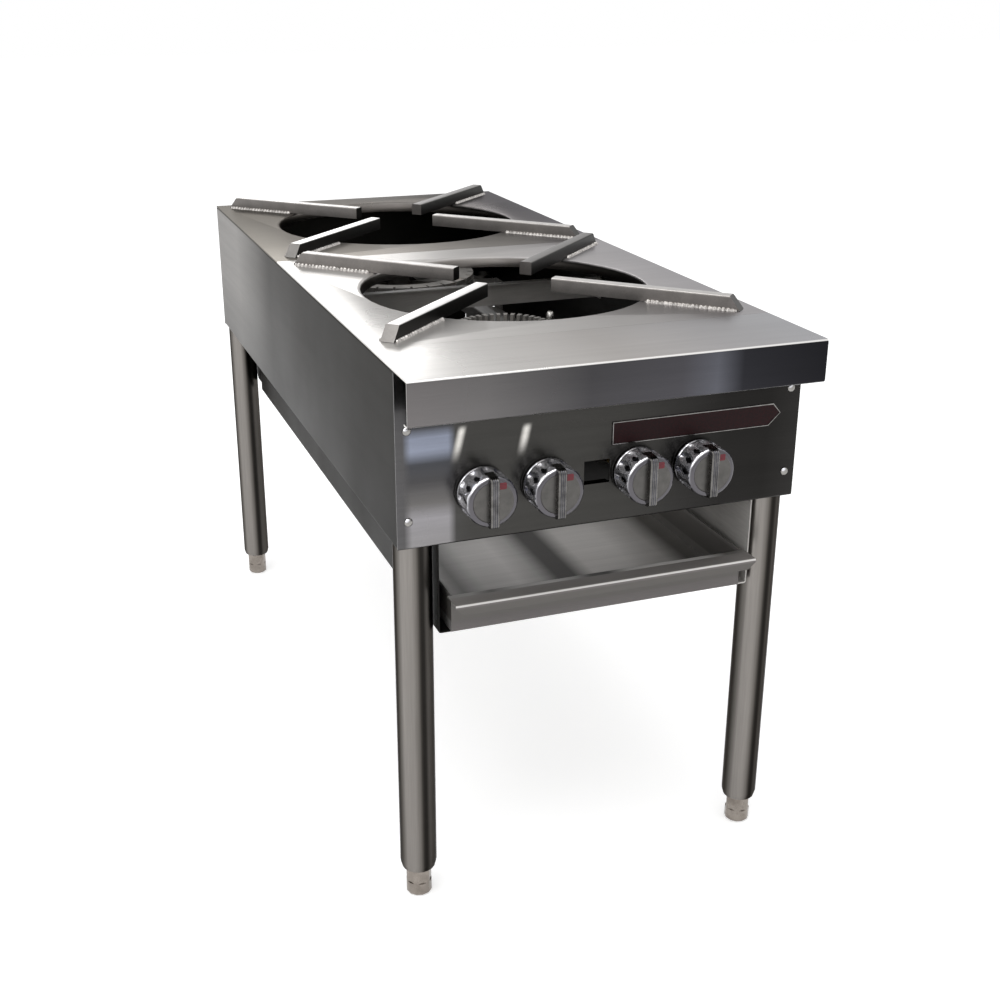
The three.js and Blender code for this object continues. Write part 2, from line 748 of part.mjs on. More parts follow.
// ---- Burners --------------------------------------------------------------------------------------
// Slotted rim of a burner: a ring of teeth with parallel-sided ports between them.
function portedRim(count, radius, portWidth, base, top, boreRadius = 0) {
  const points = [];
  const floorRadius = radius - portDepth;
  const outer = Math.asin(portWidth / 2 / radius);
  const inner = Math.asin(portWidth / 2 / floorRadius);
  for (let i = 0; i < count; i += 1) {
    const middle = ((i + 0.5) / count) * 2 * Math.PI;
    const corners = [[radius, -outer], [floorRadius, -inner], [floorRadius, inner], [radius, outer]];
    for (const [reach, offset] of corners) {
      points.push(new THREE.Vector2(reach * Math.cos(middle + offset), reach * Math.sin(middle + offset)));
    }
  }
  const shape = new THREE.Shape(points);
  if (boreRadius > 0) shape.holes.push(new THREE.Path(circleShape(boreRadius, count).getPoints()));
  return alongZ(shape, base, top);
}

// Mixing tube from its bell mouth to where it joins a casting.
function mixingTube(corners) {
  const [x, y, z] = corners[0];
  const mouth = turnedAboutY([
    [0, 0],
    [mixingMouthRadius, 0],
    [mixingMouthRadius, 3],
    [mixingTubeRadius, mixingMouthLength],
    [0, mixingMouthLength],
  ], 10).translate(x, y, z);
  const bore = turnedAboutY([
    [0, -1],
    [mixingTubeBore + 4, -1],
    [mixingTubeBore, mixingMouthLength],
    [0, mixingMouthLength],
  ], 10).translate(x, y, z);
  return { added: [sweptRound(corners, mixingTubeRadius, mixingBendRadius, 3, 10), mouth], removed: [bore] };
}

function outerRingBurner(centreY, startX, runX) {
  const ringTop = ringBottom + ringHeight;
  const portBase = ringTop - portHeight;
  const middle = (ringOuterRadius + ringInnerRadius) / 2;
  const joinX = Math.sign(startX) * ringJoinX;
  const joinY = centreY - Math.sqrt(Math.max(middle * middle - joinX * joinX, 0));
  const ring = turned([
    [ringInnerRadius, ringBottom],
    [ringOuterRadius, ringBottom],
    [ringOuterRadius, portBase],
    [ringInnerRadius, portBase],
    [ringInnerRadius, ringBottom],
  ], ringPortCount).translate(0, centreY, 0);
  const rim = portedRim(ringPortCount, ringOuterRadius - rimStep, ringPortWidth, portBase - 1, ringTop,
    ringInnerRadius + rimStep).translate(0, centreY, 0);
  const tube = mixingTube([
    [startX, mixingMouthY, knobZ],
    [startX, mixingMouthY + 2 * mixingMouthLength, knobZ],
    [runX, frontBurnerY - headTubeTurn, knobZ],
    [runX, centreY - ringTubeTurn, knobZ],
    [joinX, joinY, ringBottom + ringTubeSeat],
  ]);
  return build([ring, rim, ...tube.added], tube.removed);
}

// Standing teeth of the centre head, with open gaps between them.
function slottedCrown(radius, wall, count, gap, base, top) {
  const ring = turned([
    [radius - wall, base],
    [radius, base],
    [radius, top],
    [radius - wall, top],
    [radius - wall, base],
  ], count);
  const cuts = [];
  for (let i = 0; i < count / 2; i += 1) {
    const cut = box(-radius - 2, radius + 2, -gap / 2, gap / 2, base - 1, top + 1);
    cuts.push(cut.rotateZ((i / count) * 2 * Math.PI));
  }
  return build([ring], cuts);
}

function centreHeadBurner(centreY, startX, passing) {
  const portBase = headTop - headPortHeight;
  const riserBase = knobZ - mixingTubeRadius;
  const coneBase = headTop - headHeight - 8;
  const head = turned([
    [0, riserBase],
    [riserRadius - 3, riserBase],
    [riserRadius, riserBase + 3],
    [riserRadius, coneBase],
    [headRadius, coneBase + 14],
    [headRadius, portBase],
    [0, portBase],
  ], headPortCount / 2).translate(0, centreY, 0);
  const crown = slottedCrown(headRadius - rimStep, headRimWall, headPortCount, headPortWidth,
    portBase - 0.5, headTop).translate(0, centreY, 0);
  const boss = turned([
    [0, portBase - 1],
    [16, portBase - 1],
    [16, portBase + 2],
    [11, portBase + 6],
    [0, portBase + 6],
  ], 16).translate(0, centreY, 0);
  const footReach = railX + railFlange;
  const foot = box(-footReach, footReach, centreY - headFootWidth / 2, centreY + headFootWidth / 2,
    ringBottom, ringBottom + headFootHeight);
  const turnX = passing ? headTubePassX : startX;
  const tube = mixingTube([
    [startX, mixingMouthY, knobZ],
    [startX, mixingMouthY + 2 * mixingMouthLength, knobZ],
    ...(passing ? [[turnX, frontBurnerY - riserRadius - headTubePassRun, knobZ]] : []),
    [turnX, centreY - headTubeTurn, knobZ],
    [0, centreY - riserRadius, knobZ],
    [0, centreY, knobZ],
  ]);
  return build([head, crown, boss, foot, ...tube.added], tube.removed);
}

function pilotBurner(side, centreY) {
  const x = side * pilotX;
  const tipX = side * pilotTipX;
  const y = centreY + pilotSetback;
  const tipTop = rangeHeight - pilotTopDrop;
  const tubeTop = tipTop - pilotTipLength;
  const leanBase = ringBottom + headFootHeight;
  const tube = sweptRound([
    [x, manifoldY + pipeRadius + fitGap, manifoldZ],
    [x, y, manifoldZ],
    [x, y, leanBase],
    [tipX, y, tubeTop - 4],
    [tipX, y, tubeTop + 2],
  ], pilotTubeRadius, pilotBend, 4, 8);
  const tip = turned([
    [0, tubeTop],
    [pilotTipRadius, tubeTop],
    [pilotTipRadius, tipTop - 3],
    [pilotTipRadius - 1.5, tipTop],
    [0, tipTop],
  ], 12).translate(tipX, y, 0);
  return build([tube, tip]);
}

// ---- Gas train ------------------------------------------------------------------------------------
function pipeAlongX(x0, x1) {
  return new THREE.CylinderGeometry(pipeRadius, pipeRadius, x1 - x0, 20)
    .rotateZ(Math.PI / 2).translate((x0 + x1) / 2, manifoldY, manifoldZ);
}

function gasManifold() {
  const capRadius = pipeRadius + manifoldCapWall;
  const cap = new THREE.CylinderGeometry(capRadius, capRadius, manifoldCapLength, 8)
    .rotateZ(Math.PI / 2)
    .translate(manifoldLeftX + manifoldCapLength / 2 - manifoldCapWall, manifoldY, manifoldZ);
  return build([pipeAlongX(manifoldLeftX, supplyX - elbowRadius - fitGap), cap]);
}

function manifoldElbow() {
  return sweptRound([
    [supplyX - elbowRadius, manifoldY, manifoldZ],
    [supplyX, manifoldY, manifoldZ],
    [supplyX, manifoldY + elbowRadius, manifoldZ],
  ], elbowBodyRadius, elbowRadius - 1, 4, 14);
}

function gasSupplyPipe() {
  const y0 = manifoldY + elbowRadius + fitGap;
  const boreRadius = pipeRadius - pipeWall;
  const bore = new THREE.CylinderGeometry(boreRadius, boreRadius, 2 * pipeBoreDepth, 20)
    .translate(supplyX, overallDepth, manifoldZ);
  const pipe = new THREE.CylinderGeometry(pipeRadius, pipeRadius, overallDepth - y0, 20)
    .translate(supplyX, (y0 + overallDepth) / 2, manifoldZ);
  return build([pipe], [bore]);
}

function manifoldBracket(x) {
  const seatY = controlBackY + fitGap;
  const reach = pipeRadius + manifoldBracketRim;
  const footBase = manifoldZ - 0.65 * reach;
  const footTop = manifoldZ + reach;
  const plate = new THREE.Shape([
    new THREE.Vector2(seatY, footBase),
    new THREE.Vector2(manifoldY, manifoldZ - reach),
    new THREE.Vector2(manifoldY + reach, manifoldZ - reach / 3),
    new THREE.Vector2(manifoldY + reach, manifoldZ + reach / 3),
    new THREE.Vector2(manifoldY, manifoldZ + reach),
    new THREE.Vector2(seatY, footTop),
  ]);
  const half = manifoldBracketThickness / 2;
  const hole = new THREE.CylinderGeometry(pipeRadius + fitGap, pipeRadius + fitGap, 20, 20)
    .rotateZ(Math.PI / 2).translate(x, manifoldY, manifoldZ);
  return build([
    alongX(plate, x - half, x + half),
    box(x - half, x + manifoldBracketFoot, seatY, seatY + manifoldBracketThickness, footBase, footTop),
  ], [hole]);
}

function gasValve(x) {
  const start = valveFrontY - bonnetLength;
  const body = turnedAboutY([
    [0, start],
    [bonnetRadius, start],
    [bonnetRadius, valveFrontY],
    [valveRadius, valveFrontY + 1],
    [valveRadius, valveFrontY + valveLength],
    [hoodRadius, valveFrontY + valveLength],
    [hoodRadius, hoodEndY - 4],
    [3, hoodEndY],
    [0, hoodEndY],
  ], 12).translate(x, 0, knobZ);
  const nippleBase = manifoldZ + pipeRadius + fitGap;
  const nipple = new THREE.CylinderGeometry(nippleRadius, nippleRadius, knobZ - nippleBase, 10)
    .rotateX(Math.PI / 2).translate(x, manifoldY, (nippleBase + knobZ) / 2);
  const bore = new THREE.CylinderGeometry(stemRadius + fitGap, stemRadius + fitGap, 2 * (stemInValve + 1), 12)
    .translate(x, start, knobZ);
  return build([body, nipple], [bore]);
}

// ---- Knobs and stems ------------------------------------------------------------------------------
function valveStem(x) {
  const front = knobBackY - stemInKnob;
  const back = valveFrontY - bonnetLength + stemInValve;
  return new THREE.CylinderGeometry(stemRadius, stemRadius, back - front, 12)
    .translate(x, (front + back) / 2, knobZ);
}

// Chrome knob: round body with oval dimples round its side, domed face and a full-width grip bar.
function controlKnob() {
  const grip = knobDepth + knobGripHeight;
  const skin = turnedAboutY([
    [0, 0],
    [knobSkirtRadius, 0],
    [knobSkirtRadius, -3],
    [knobSkirtRadius - 1.5, -5],
    [knobFaceRadius, -knobDepth + 4],
    [knobFaceRadius - 4, -knobDepth],
    [0, -knobDepth - 1.5],
  ].reverse(), 24);
  const bar = new THREE.Shape();
  const barHalf = knobGripWidth / 2;
  const barReach = knobFaceRadius - 1;
  bar.moveTo(-barHalf, -barReach + barHalf);
  bar.absarc(0, -barReach + barHalf, barHalf, Math.PI, 2 * Math.PI, false);
  bar.lineTo(barHalf, barReach - barHalf);
  bar.absarc(0, barReach - barHalf, barHalf, 0, Math.PI, false);
  bar.closePath();
  const ridge = alongY(bar, -grip, -6, 5);
  const dimples = [];
  for (let i = 0; i < knobDimpleCount; i += 1) {
    const angle = ((i + 0.5) / knobDimpleCount) * 2 * Math.PI;
    const dimple = new THREE.SphereGeometry(1, 6, 3).rotateY(Math.PI / 2);
    dimple.scale(knobDimpleDepth, knobDimpleLength / 2, knobDimpleWidth / 2);
    dimple.translate(knobFaceRadius - 1, -knobDepth / 2 + 1, 0).rotateY(angle);
    dimples.push(dimple);
  }
  const bore = new THREE.CylinderGeometry(stemRadius + fitGap, stemRadius + fitGap,
    2 * (stemInKnob + 1), 12);
  return build([skin, ridge], [...dimples, bore]);
}

// ---- Assembly -------------------------------------------------------------------------------------
const leftPanel = leftSidePanel();
place('left_side_panel', leftPanel, 'brushed');
place('right_side_panel', mirrored(leftPanel), 'brushed');
place('back_panel', backPanel(), 'brushed');
place('front_control_panel', frontControlPanel(), 'brushed');
place('front_ledge', frontLedge(), 'brightTop');

const burners = [
  { name: 'front', y: frontBurnerY },
  { name: 'rear', y: rearBurnerY },
];
const armCorners = [
  { name: 'front_left', turn: -135 },
  { name: 'front_right', turn: -45 },
  { name: 'back_right', turn: 45 },
  { name: 'back_left', turn: 135 },
];
const arm = potRestArm();
for (const burner of burners) {
  place(`${burner.name}_top_plate`, topPlate(burner.y), 'brightTop');
  for (const corner of armCorners) {
    const mesh = place(`${burner.name}_plate_arm_${corner.name}`, arm, 'brushed');
    mesh.position.set(0, burner.y, rangeHeight + fitGap);
    mesh.rotation.z = THREE.MathUtils.degToRad(corner.turn);
  }
}

const legGeometry = leg();
const footGeometry = adjustableFoot();
const bracketGeometry = legBracket();
const rearBracketGeometry = mirrored(bracketGeometry).rotateZ(Math.PI)
  .translate(0, frontLegY + rearLegY, 0);
const corners = [
  { name: 'front_left', x: -legX, y: frontLegY, bracket: bracketGeometry },
  { name: 'front_right', x: legX, y: frontLegY, bracket: mirrored(bracketGeometry) },
  { name: 'rear_left', x: -legX, y: rearLegY, bracket: rearBracketGeometry },
  { name: 'rear_right', x: legX, y: rearLegY, bracket: mirrored(rearBracketGeometry) },
];
for (const corner of corners) {
  place(`${corner.name}_leg`, legGeometry, 'brushed').position.set(corner.x, corner.y, 0);
  place(`${corner.name}_foot`, footGeometry, 'chrome').position.set(corner.x, corner.y, 0);
  place(`${corner.name}_leg_bracket`, corner.bracket, 'darkSheet');
}

const leftRunner = leftTrayRunner();
place('left_tray_runner', leftRunner, 'darkSheet');
place('right_tray_runner', mirrored(leftRunner), 'darkSheet');
place('drip_tray', dripTray(), 'brushed');

place('manifold_heat_shield', manifoldShield(), 'darkSheet');
place('middle_baffle', middleBaffle(), 'darkSheet');
const rightRail = rightBurnerRail();
place('right_burner_rail', rightRail, 'darkSheet');
place('left_burner_rail', mirrored(rightRail), 'darkSheet');

const [firstX, secondX, thirdX, fourthX] = knobPositions;
place('front_burner_outer_ring', outerRingBurner(frontBurnerY, firstX, ringRunX[0]), 'castIron');
place('front_burner_centre_head', centreHeadBurner(frontBurnerY, secondX, false), 'castIron');
place('rear_burner_centre_head', centreHeadBurner(rearBurnerY, thirdX, true), 'castIron');
place('rear_burner_outer_ring', outerRingBurner(rearBurnerY, fourthX, ringRunX[1]), 'castIron');
place('front_pilot', pilotBurner(1, frontBurnerY), 'brass');
place('rear_pilot', pilotBurner(-1, rearBurnerY), 'brass');

place('gas_manifold', gasManifold(), 'blackPipe');
place('manifold_elbow', manifoldElbow(), 'blackPipe');
place('gas_supply_pipe', gasSupplyPipe(), 'blackPipe');
place('left_manifold_bracket', manifoldBracket(firstX + leftBracketReach), 'darkSheet');
place('right_manifold_bracket', manifoldBracket(fourthX + rightBracketReach), 'darkSheet');

const knob = controlKnob();
knobPositions.forEach((x, index) => {
  const number = index + 1;
  place(`gas_valve_${number}`, gasValve(x), 'brass');
  place(`valve_stem_${number}`, valveStem(x), 'darkSheet');
  place(`control_knob_${number}`, knob, 'chrome').position.set(x, knobBackY, knobZ);
});

export default range;
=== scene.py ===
import math
import random
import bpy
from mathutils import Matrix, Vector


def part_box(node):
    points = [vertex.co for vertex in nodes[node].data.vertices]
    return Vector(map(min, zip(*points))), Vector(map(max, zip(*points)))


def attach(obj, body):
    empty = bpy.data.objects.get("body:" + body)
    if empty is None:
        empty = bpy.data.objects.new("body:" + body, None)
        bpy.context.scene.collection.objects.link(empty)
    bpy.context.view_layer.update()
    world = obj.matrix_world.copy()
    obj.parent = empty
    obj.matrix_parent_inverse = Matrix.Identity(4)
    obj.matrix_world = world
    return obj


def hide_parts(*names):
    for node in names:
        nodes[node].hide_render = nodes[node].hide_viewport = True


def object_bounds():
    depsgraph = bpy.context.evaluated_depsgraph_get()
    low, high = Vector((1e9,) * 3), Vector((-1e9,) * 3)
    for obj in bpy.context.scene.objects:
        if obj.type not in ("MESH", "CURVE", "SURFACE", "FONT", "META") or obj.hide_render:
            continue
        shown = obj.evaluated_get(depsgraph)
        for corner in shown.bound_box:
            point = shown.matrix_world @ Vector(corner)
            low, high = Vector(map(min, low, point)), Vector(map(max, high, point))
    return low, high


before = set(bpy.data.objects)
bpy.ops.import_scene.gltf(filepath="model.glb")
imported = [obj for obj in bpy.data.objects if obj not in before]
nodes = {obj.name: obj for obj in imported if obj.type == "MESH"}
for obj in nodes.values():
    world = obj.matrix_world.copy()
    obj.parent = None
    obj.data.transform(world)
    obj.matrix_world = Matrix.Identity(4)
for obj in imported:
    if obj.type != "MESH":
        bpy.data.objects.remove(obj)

from fnmatch import fnmatch

import bmesh
import bpy
from mathutils import Matrix, Vector

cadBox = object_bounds()
cadBox = [list(cadBox[0]), list(cadBox[1])]
mm = 0.001
print("frame loaded,", len(nodes), "nodes")


def linear(hexColour):
    values = [int(hexColour[i:i + 2], 16) / 255 for i in (1, 3, 5)]
    return [v / 12.92 if v <= 0.04045 else ((v + 0.055) / 1.055) ** 2.4 for v in values] + [1.0]


# camera, fitted to the photo's edges
cameraView = {
    "place": (-0.57746, -1.70361, 0.98917),
    "yaw": 20.7,
    "pitch": -21.61,
    "roll": 0.26,
    "lens": 49.21,
    "sensor": 36,  # width in mm, square frame
    "clip": (0.05, 60),
}


def addCamera(view):
    yaw, pitch, roll = (math.radians(view[key]) for key in ("yaw", "pitch", "roll"))
    ahead = Vector((math.sin(yaw) * math.cos(pitch), math.cos(yaw) * math.cos(pitch), math.sin(pitch)))
    level = Vector((math.cos(yaw), -math.sin(yaw), 0))
    above = level.cross(ahead)
    right = level * math.cos(roll) + above * math.sin(roll)
    up = above * math.cos(roll) - level * math.sin(roll)
    data = bpy.data.cameras.new("camera")
    data.lens = view["lens"]
    data.sensor_width = view["sensor"]
    data.clip_start, data.clip_end = view["clip"]
    camera = bpy.data.objects.new("camera", data)
    bpy.context.scene.collection.objects.link(camera)
    turn = Matrix((right, up, -ahead)).transposed().to_4x4()
    camera.matrix_world = Matrix.Translation(view["place"]) @ turn
    bpy.context.scene.camera = camera


addCamera(cameraView)


def fillRamp(colourRamp, stops):
    points = colourRamp.elements
    points.remove(points[1])
    points[0].position = stops[0][0]
    spots = [points[0]] + [points.new(at) for at, colour in stops[1:]]
    for point, (at, colour) in zip(spots, stops):
        point.color = linear(colour) if isinstance(colour, str) else (colour, colour, colour, 1)


# Adds a node. A socket goes by its name, with _ for a space, or by i and its number. A plain value is
# set on it, and a socket, or a node's first output, is linked to it.
def put(tree, kind, settings=None, **sockets):
    node = tree.nodes.new(kind)
    for key, value in (settings or {}).items():
        if key == "stops":
            fillRamp(node.color_ramp, value)
        else:
            setattr(node, key, value)
    for key, value in sockets.items():
        socket = node.inputs[int(key[1:]) if key[1:].isdigit() else key.replace("_", " ")]
        if isinstance(value, bpy.types.Node):
            value = value.outputs[0]
        if isinstance(value, bpy.types.NodeSocket):
            tree.links.new(value, socket)
        else:
            socket.default_value = value
    return node


# settings that many nodes share
blend = {"data_type": "RGBA", "blend_type": "MIX"}
multiply = {"data_type": "RGBA", "blend_type": "MULTIPLY"}
smooth = {"interpolation_type": "SMOOTHSTEP"}
times = {"operation": "MULTIPLY"}
plus = {"operation": "ADD"}
minus = {"operation": "SUBTRACT"}


def freshMaterial(name):
    material = bpy.data.materials.new(name)
    material.use_nodes = True
    material.node_tree.nodes.clear()
    return material, material.node_tree


# 0 to 1 between two places along an axis, or between two turns of a direction
def progress(tree, vector, axis, low, high):
    split = put(tree, "ShaderNodeSeparateXYZ", Vector=vector)
    return put(tree, "ShaderNodeMapRange", Value=split.outputs[axis], From_Min=low, From_Max=high)


def toneAlong(tree, vector, axis, stops):
    low, high = stops[0][0], stops[-1][0]
    shares = [((at - low) / (high - low), colour) for at, colour in stops]
    return put(tree, "ShaderNodeValToRGB", {"stops": shares}, Fac=progress(tree, vector, axis, low, high))


# darkens a tone to the least share where a pattern is low, and not at all where it is high
def shaded(tree, tone, pattern, low, high, least):
    shade = put(tree, "ShaderNodeValToRGB", {"stops": [(low, least), (high, 1.0)]}, Fac=pattern)
    return put(tree, "ShaderNodeMix", multiply, i0=1.0, i6=tone, i7=shade).outputs[2]


# masks pick out faces by their place, such as the inside of a sheet, for painted shade and painted reflections
# to go on
def beyond(axis, at, side, soft=0.0006):
    return lambda tree, where: progress(tree, where, axis, at, at + side * soft)


def between(axis, low, high, soft=0.0006):
    above, below = beyond(axis, low, 1, soft), beyond(axis, high, -1, soft)
    return lambda tree, where: put(tree, "ShaderNodeMath", times, i0=above(tree, where), i1=below(tree, where))


# a painted highlight: a slim spot of light that leans from its top place to its low place, soft at both ends
def glint(across, up, half, soft):
    lean = (across[0] - across[1]) / (up[0] - up[1])
    ends = ((up[1] - soft / 2, up[1] + soft), (up[0] + soft / 2, up[0]))

    def mask(tree, where):
        split = put(tree, "ShaderNodeSeparateXYZ", Vector=where)
        height = split.outputs["Z"]
        rise = put(tree, "ShaderNodeMath", minus, i0=height, i1=up[1])
        drift = put(tree, "ShaderNodeMath", times, i0=rise, i1=lean)
        centre = put(tree, "ShaderNodeMath", plus, i0=drift, i1=across[1])
        off = put(tree, "ShaderNodeMath", minus, i0=split.outputs["X"], i1=centre)
        off = put(tree, "ShaderNodeMath", {"operation": "ABSOLUTE"}, i0=off)
        share = put(tree, "ShaderNodeMapRange", smooth, Value=off, From_Max=half, To_Min=1, To_Max=0)
        for start, end in ends:
            fade = put(tree, "ShaderNodeMapRange", smooth, Value=height, From_Min=start, From_Max=end)
            share = put(tree, "ShaderNodeMath", times, i0=share, i1=fade)
        return share
    return mask


# painted light and shade by the way a face is turned, as rooms light a bright metal more from one side than
# another
def paintedFacingLight(tree, tone, look):
    turned = put(tree, "ShaderNodeNewGeometry").outputs["Normal"]
    if "round" in look:
        tone = toneAlong(tree, turned, *look["round"])
    for direction, low, high, colour in look.get("facing", []):
        facing = put(tree, "ShaderNodeVectorMath", {"operation": "DOT_PRODUCT"}, i0=turned, i1=direction)
        facing = facing.outputs["Value"]
        share = put(tree, "ShaderNodeMapRange", smooth, Value=facing, From_Min=low, From_Max=high)
        tone = put(tree, "ShaderNodeMix", blend, i0=share, i6=tone, i7=linear(colour)).outputs[2]
    return tone


# the shader that every finish ends in, its roughness following a pattern between the look's two values
def addSurface(tree, tone, pattern, look, patternTop=0.7, **sockets):
    least, most = look["rough"]
    rough = put(tree, "ShaderNodeMapRange", Value=pattern, From_Min=0.3, From_Max=patternTop,
                To_Min=least, To_Max=most)
    shader = put(tree, "ShaderNodeBsdfPrincipled", Base_Color=tone, Roughness=rough, **sockets)
    put(tree, "ShaderNodeOutputMaterial", Surface=shader)


# Stainless steel sheet, belt-sanded along one axis. The fine lines and the tangent across them draw
# every reflection out across the grain. Scales are counts to the metre.
sandedSteel = {
    "grain": "X",
    "along": 0.03,  # the lines' scale along the grain
    "fineScale": 900,  # real lines are about 0.1 mm apart, too fine to show, so these are 1.1 mm apart
    "broadScale": 90,
    "cloudScale": 5,  # stains about 200 mm across
    "streak": 0.12,
    "cloud": 0.08,
    "rough": (0.3, 0.4),
    "bump": 0.12,
    "bumpHeight": 0.0004,
    "metal": 1.0,
    "edge": "#ffffff",  # how bright at a low angle
    "anisotropic": 0.6,
    "stretch": (0, 0, 1),
}


def brushedSteel(name, look):
    material, tree = freshMaterial(name)
    where = put(tree, "ShaderNodeTexCoord").outputs["Object"]
    across = [look["along"] if axis == look["grain"] else 1 for axis in "XYZ"]
    drawn = put(tree, "ShaderNodeMapping", Vector=where, Scale=across)
    fine = put(tree, "ShaderNodeTexNoise", Vector=drawn, Scale=look["fineScale"], Detail=2, Roughness=0.6)
    broad = put(tree, "ShaderNodeTexNoise", Vector=drawn, Scale=look["broadScale"], Detail=3, Roughness=0.55)
    cloud = put(tree, "ShaderNodeTexNoise", Vector=where, Scale=look["cloudScale"], Detail=3, Roughness=0.5)
    tone = linear(look["colour"]) if "colour" in look else None
    for axis, stops in look.get("tones", []):
        shade = toneAlong(tree, where, axis, stops)
        if tone is None:
            tone = shade
        else:
            tone = put(tree, "ShaderNodeMix", multiply, i0=1.0, i6=tone, i7=shade).outputs[2]
    for zone, axis, stops in look.get("zones", []):
        shade = toneAlong(tree, where, axis, stops)
        tone = put(tree, "ShaderNodeMix", blend, i0=zone(tree, where), i6=tone, i7=shade).outputs[2]
    tone = paintedFacingLight(tree, tone, look)
    tone = shaded(tree, tone, broad, 0.32, 0.68, 1 - look["streak"])
    tone = shaded(tree, tone, fine, 0.3, 0.7, 1 - look["streak"] * 0.7)
    tone = shaded(tree, tone, cloud, 0.35, 0.65, 1 - look["cloud"])
    # painted shade over the faces that the masks pick out
    for mask in look.get("paintedShadeMasks", []):
        paintedShade = linear(look["paintedShadeColour"])
        tone = put(tree, "ShaderNodeMix", blend, i0=mask(tree, where), i6=tone, i7=paintedShade).outputs[2]
    low = put(tree, "ShaderNodeMath", times, i0=broad, i1=0.6)
    height = put(tree, "ShaderNodeMath", plus, i0=fine, i1=low)
    bump = put(tree, "ShaderNodeBump", Strength=look["bump"], Distance=look["bumpHeight"], Height=height)
    sockets = {"Normal": bump, "Metallic": look["metal"], "Anisotropic": look["anisotropic"],
               "Specular_Tint": linear(look["edge"])}
    if look["anisotropic"] > 0:
        sockets["Tangent"] = put(tree, "ShaderNodeCombineXYZ", **dict(zip("XYZ", look["stretch"])))
    addSurface(tree, tone, cloud, look, **sockets)
    return material


# Cast iron and black pipe: dull and gritty from the mould or the mill, browned in patches by heat.
# A grain of about 0.3 mm is too fine to show, so it is drawn 1.1 mm across.
def castIron(name, look):
    material, tree = freshMaterial(name)
    where = put(tree, "ShaderNodeTexCoord").outputs["Object"]
    grit = put(tree, "ShaderNodeTexNoise", Vector=where, Scale=900, Detail=4, Roughness=0.65)
    patch = put(tree, "ShaderNodeTexNoise", Vector=where, Scale=22, Detail=4, Roughness=0.6)
    stops = [(0.3, look["dark"]), (0.55, look["colour"]), (0.75, look["rust"])]
    tone = put(tree, "ShaderNodeValToRGB", {"stops": stops}, Fac=patch)
    tone = shaded(tree, tone, grit, 0.3, 0.7, 0.7)
    bump = put(tree, "ShaderNodeBump", Strength=0.5, Distance=0.0006, Height=grit)
    addSurface(tree, tone, grit, look, Metallic=look["metal"], Normal=bump)
    return material


# Plated or turned metal: near-mirror to satin, with faint haze where hands and cloths have rubbed it.
def plated(name, look):
    material, tree = freshMaterial(name)
    where = put(tree, "ShaderNodeTexCoord").outputs["Object"]
    haze = put(tree, "ShaderNodeTexNoise", Vector=where, Scale=look["hazeScale"], Detail=4, Roughness=0.6)
    stops = [(0.3, look["dark"]), (0.7, look["colour"])]
    tone = paintedFacingLight(tree, put(tree, "ShaderNodeValToRGB", {"stops": stops}, Fac=haze), look)
    addSurface(tree, tone, haze, look, 0.75, Metallic=look.get("metal", 1.0))
    return material


# Enamel paint, baked on: an even colour with a faint speck, 1 to 1.5 mm across, and a low gloss.
def enamel(name, look):
    material, tree = freshMaterial(name)
    where = put(tree, "ShaderNodeTexCoord").outputs["Object"]
    speck = put(tree, "ShaderNodeTexNoise", Vector=where, Scale=look["speckScale"], Detail=3, Roughness=0.6)
    stops = [(0.35, look["dark"]), (0.65, look["colour"])]
    tone = put(tree, "ShaderNodeValToRGB", {"stops": stops}, Fac=speck)
    addSurface(tree, tone, speck, look, Specular_IOR_Level=look["shine"])
    return material


# Tones run along an axis in metres, and zones do so inside a mask. They are painted reflections and painted
# shade,
# for the room that each sheet mirrors: pale towards the windows, dark towards the floor and the next piece.
sideSteel = dict(sandedSteel, grain="Y", anisotropic=0.7, paintedShadeColour="#2b2a28")
topSteel = dict(sandedSteel, edge="#cccccc", broadScale=80, streak=0.06, cloud=0.04, rough=(0.26, 0.34),
                stretch=(0, 1, 0), paintedShadeColour="#4a4845")
armSteel = dict(sandedSteel, colour="#a5a29f", along=1.0, fineScale=500, broadScale=60, streak=0.14,
                cloud=0.12, rough=(0.32, 0.46), anisotropic=0.0)
millSteel = dict(sandedSteel, along=0.1, fineScale=400, broadScale=40, streak=0.15, rough=(0.42, 0.6),
                 anisotropic=0.0)
sootySteel = dict(sandedSteel, along=0.2, fineScale=300, broadScale=30, streak=0.2, rough=(0.45, 0.65),
                  anisotropic=0.0)
# painted light on a bar's sloped outer end
armSlope = ((-0.547, -0.547, 0.633), 0.9, 0.97, "#8f8c89")


def armFacing(left, top):
    # painted light and shade on a bar's right flank, left flank and flat top
    return [((0.707, -0.707, 0), 0.45, 0.75, "#262523"), ((-0.707, -0.707, 0), 0.45, 0.75, left),
            ((0, 0, 1), 0.6, 0.8, top)]


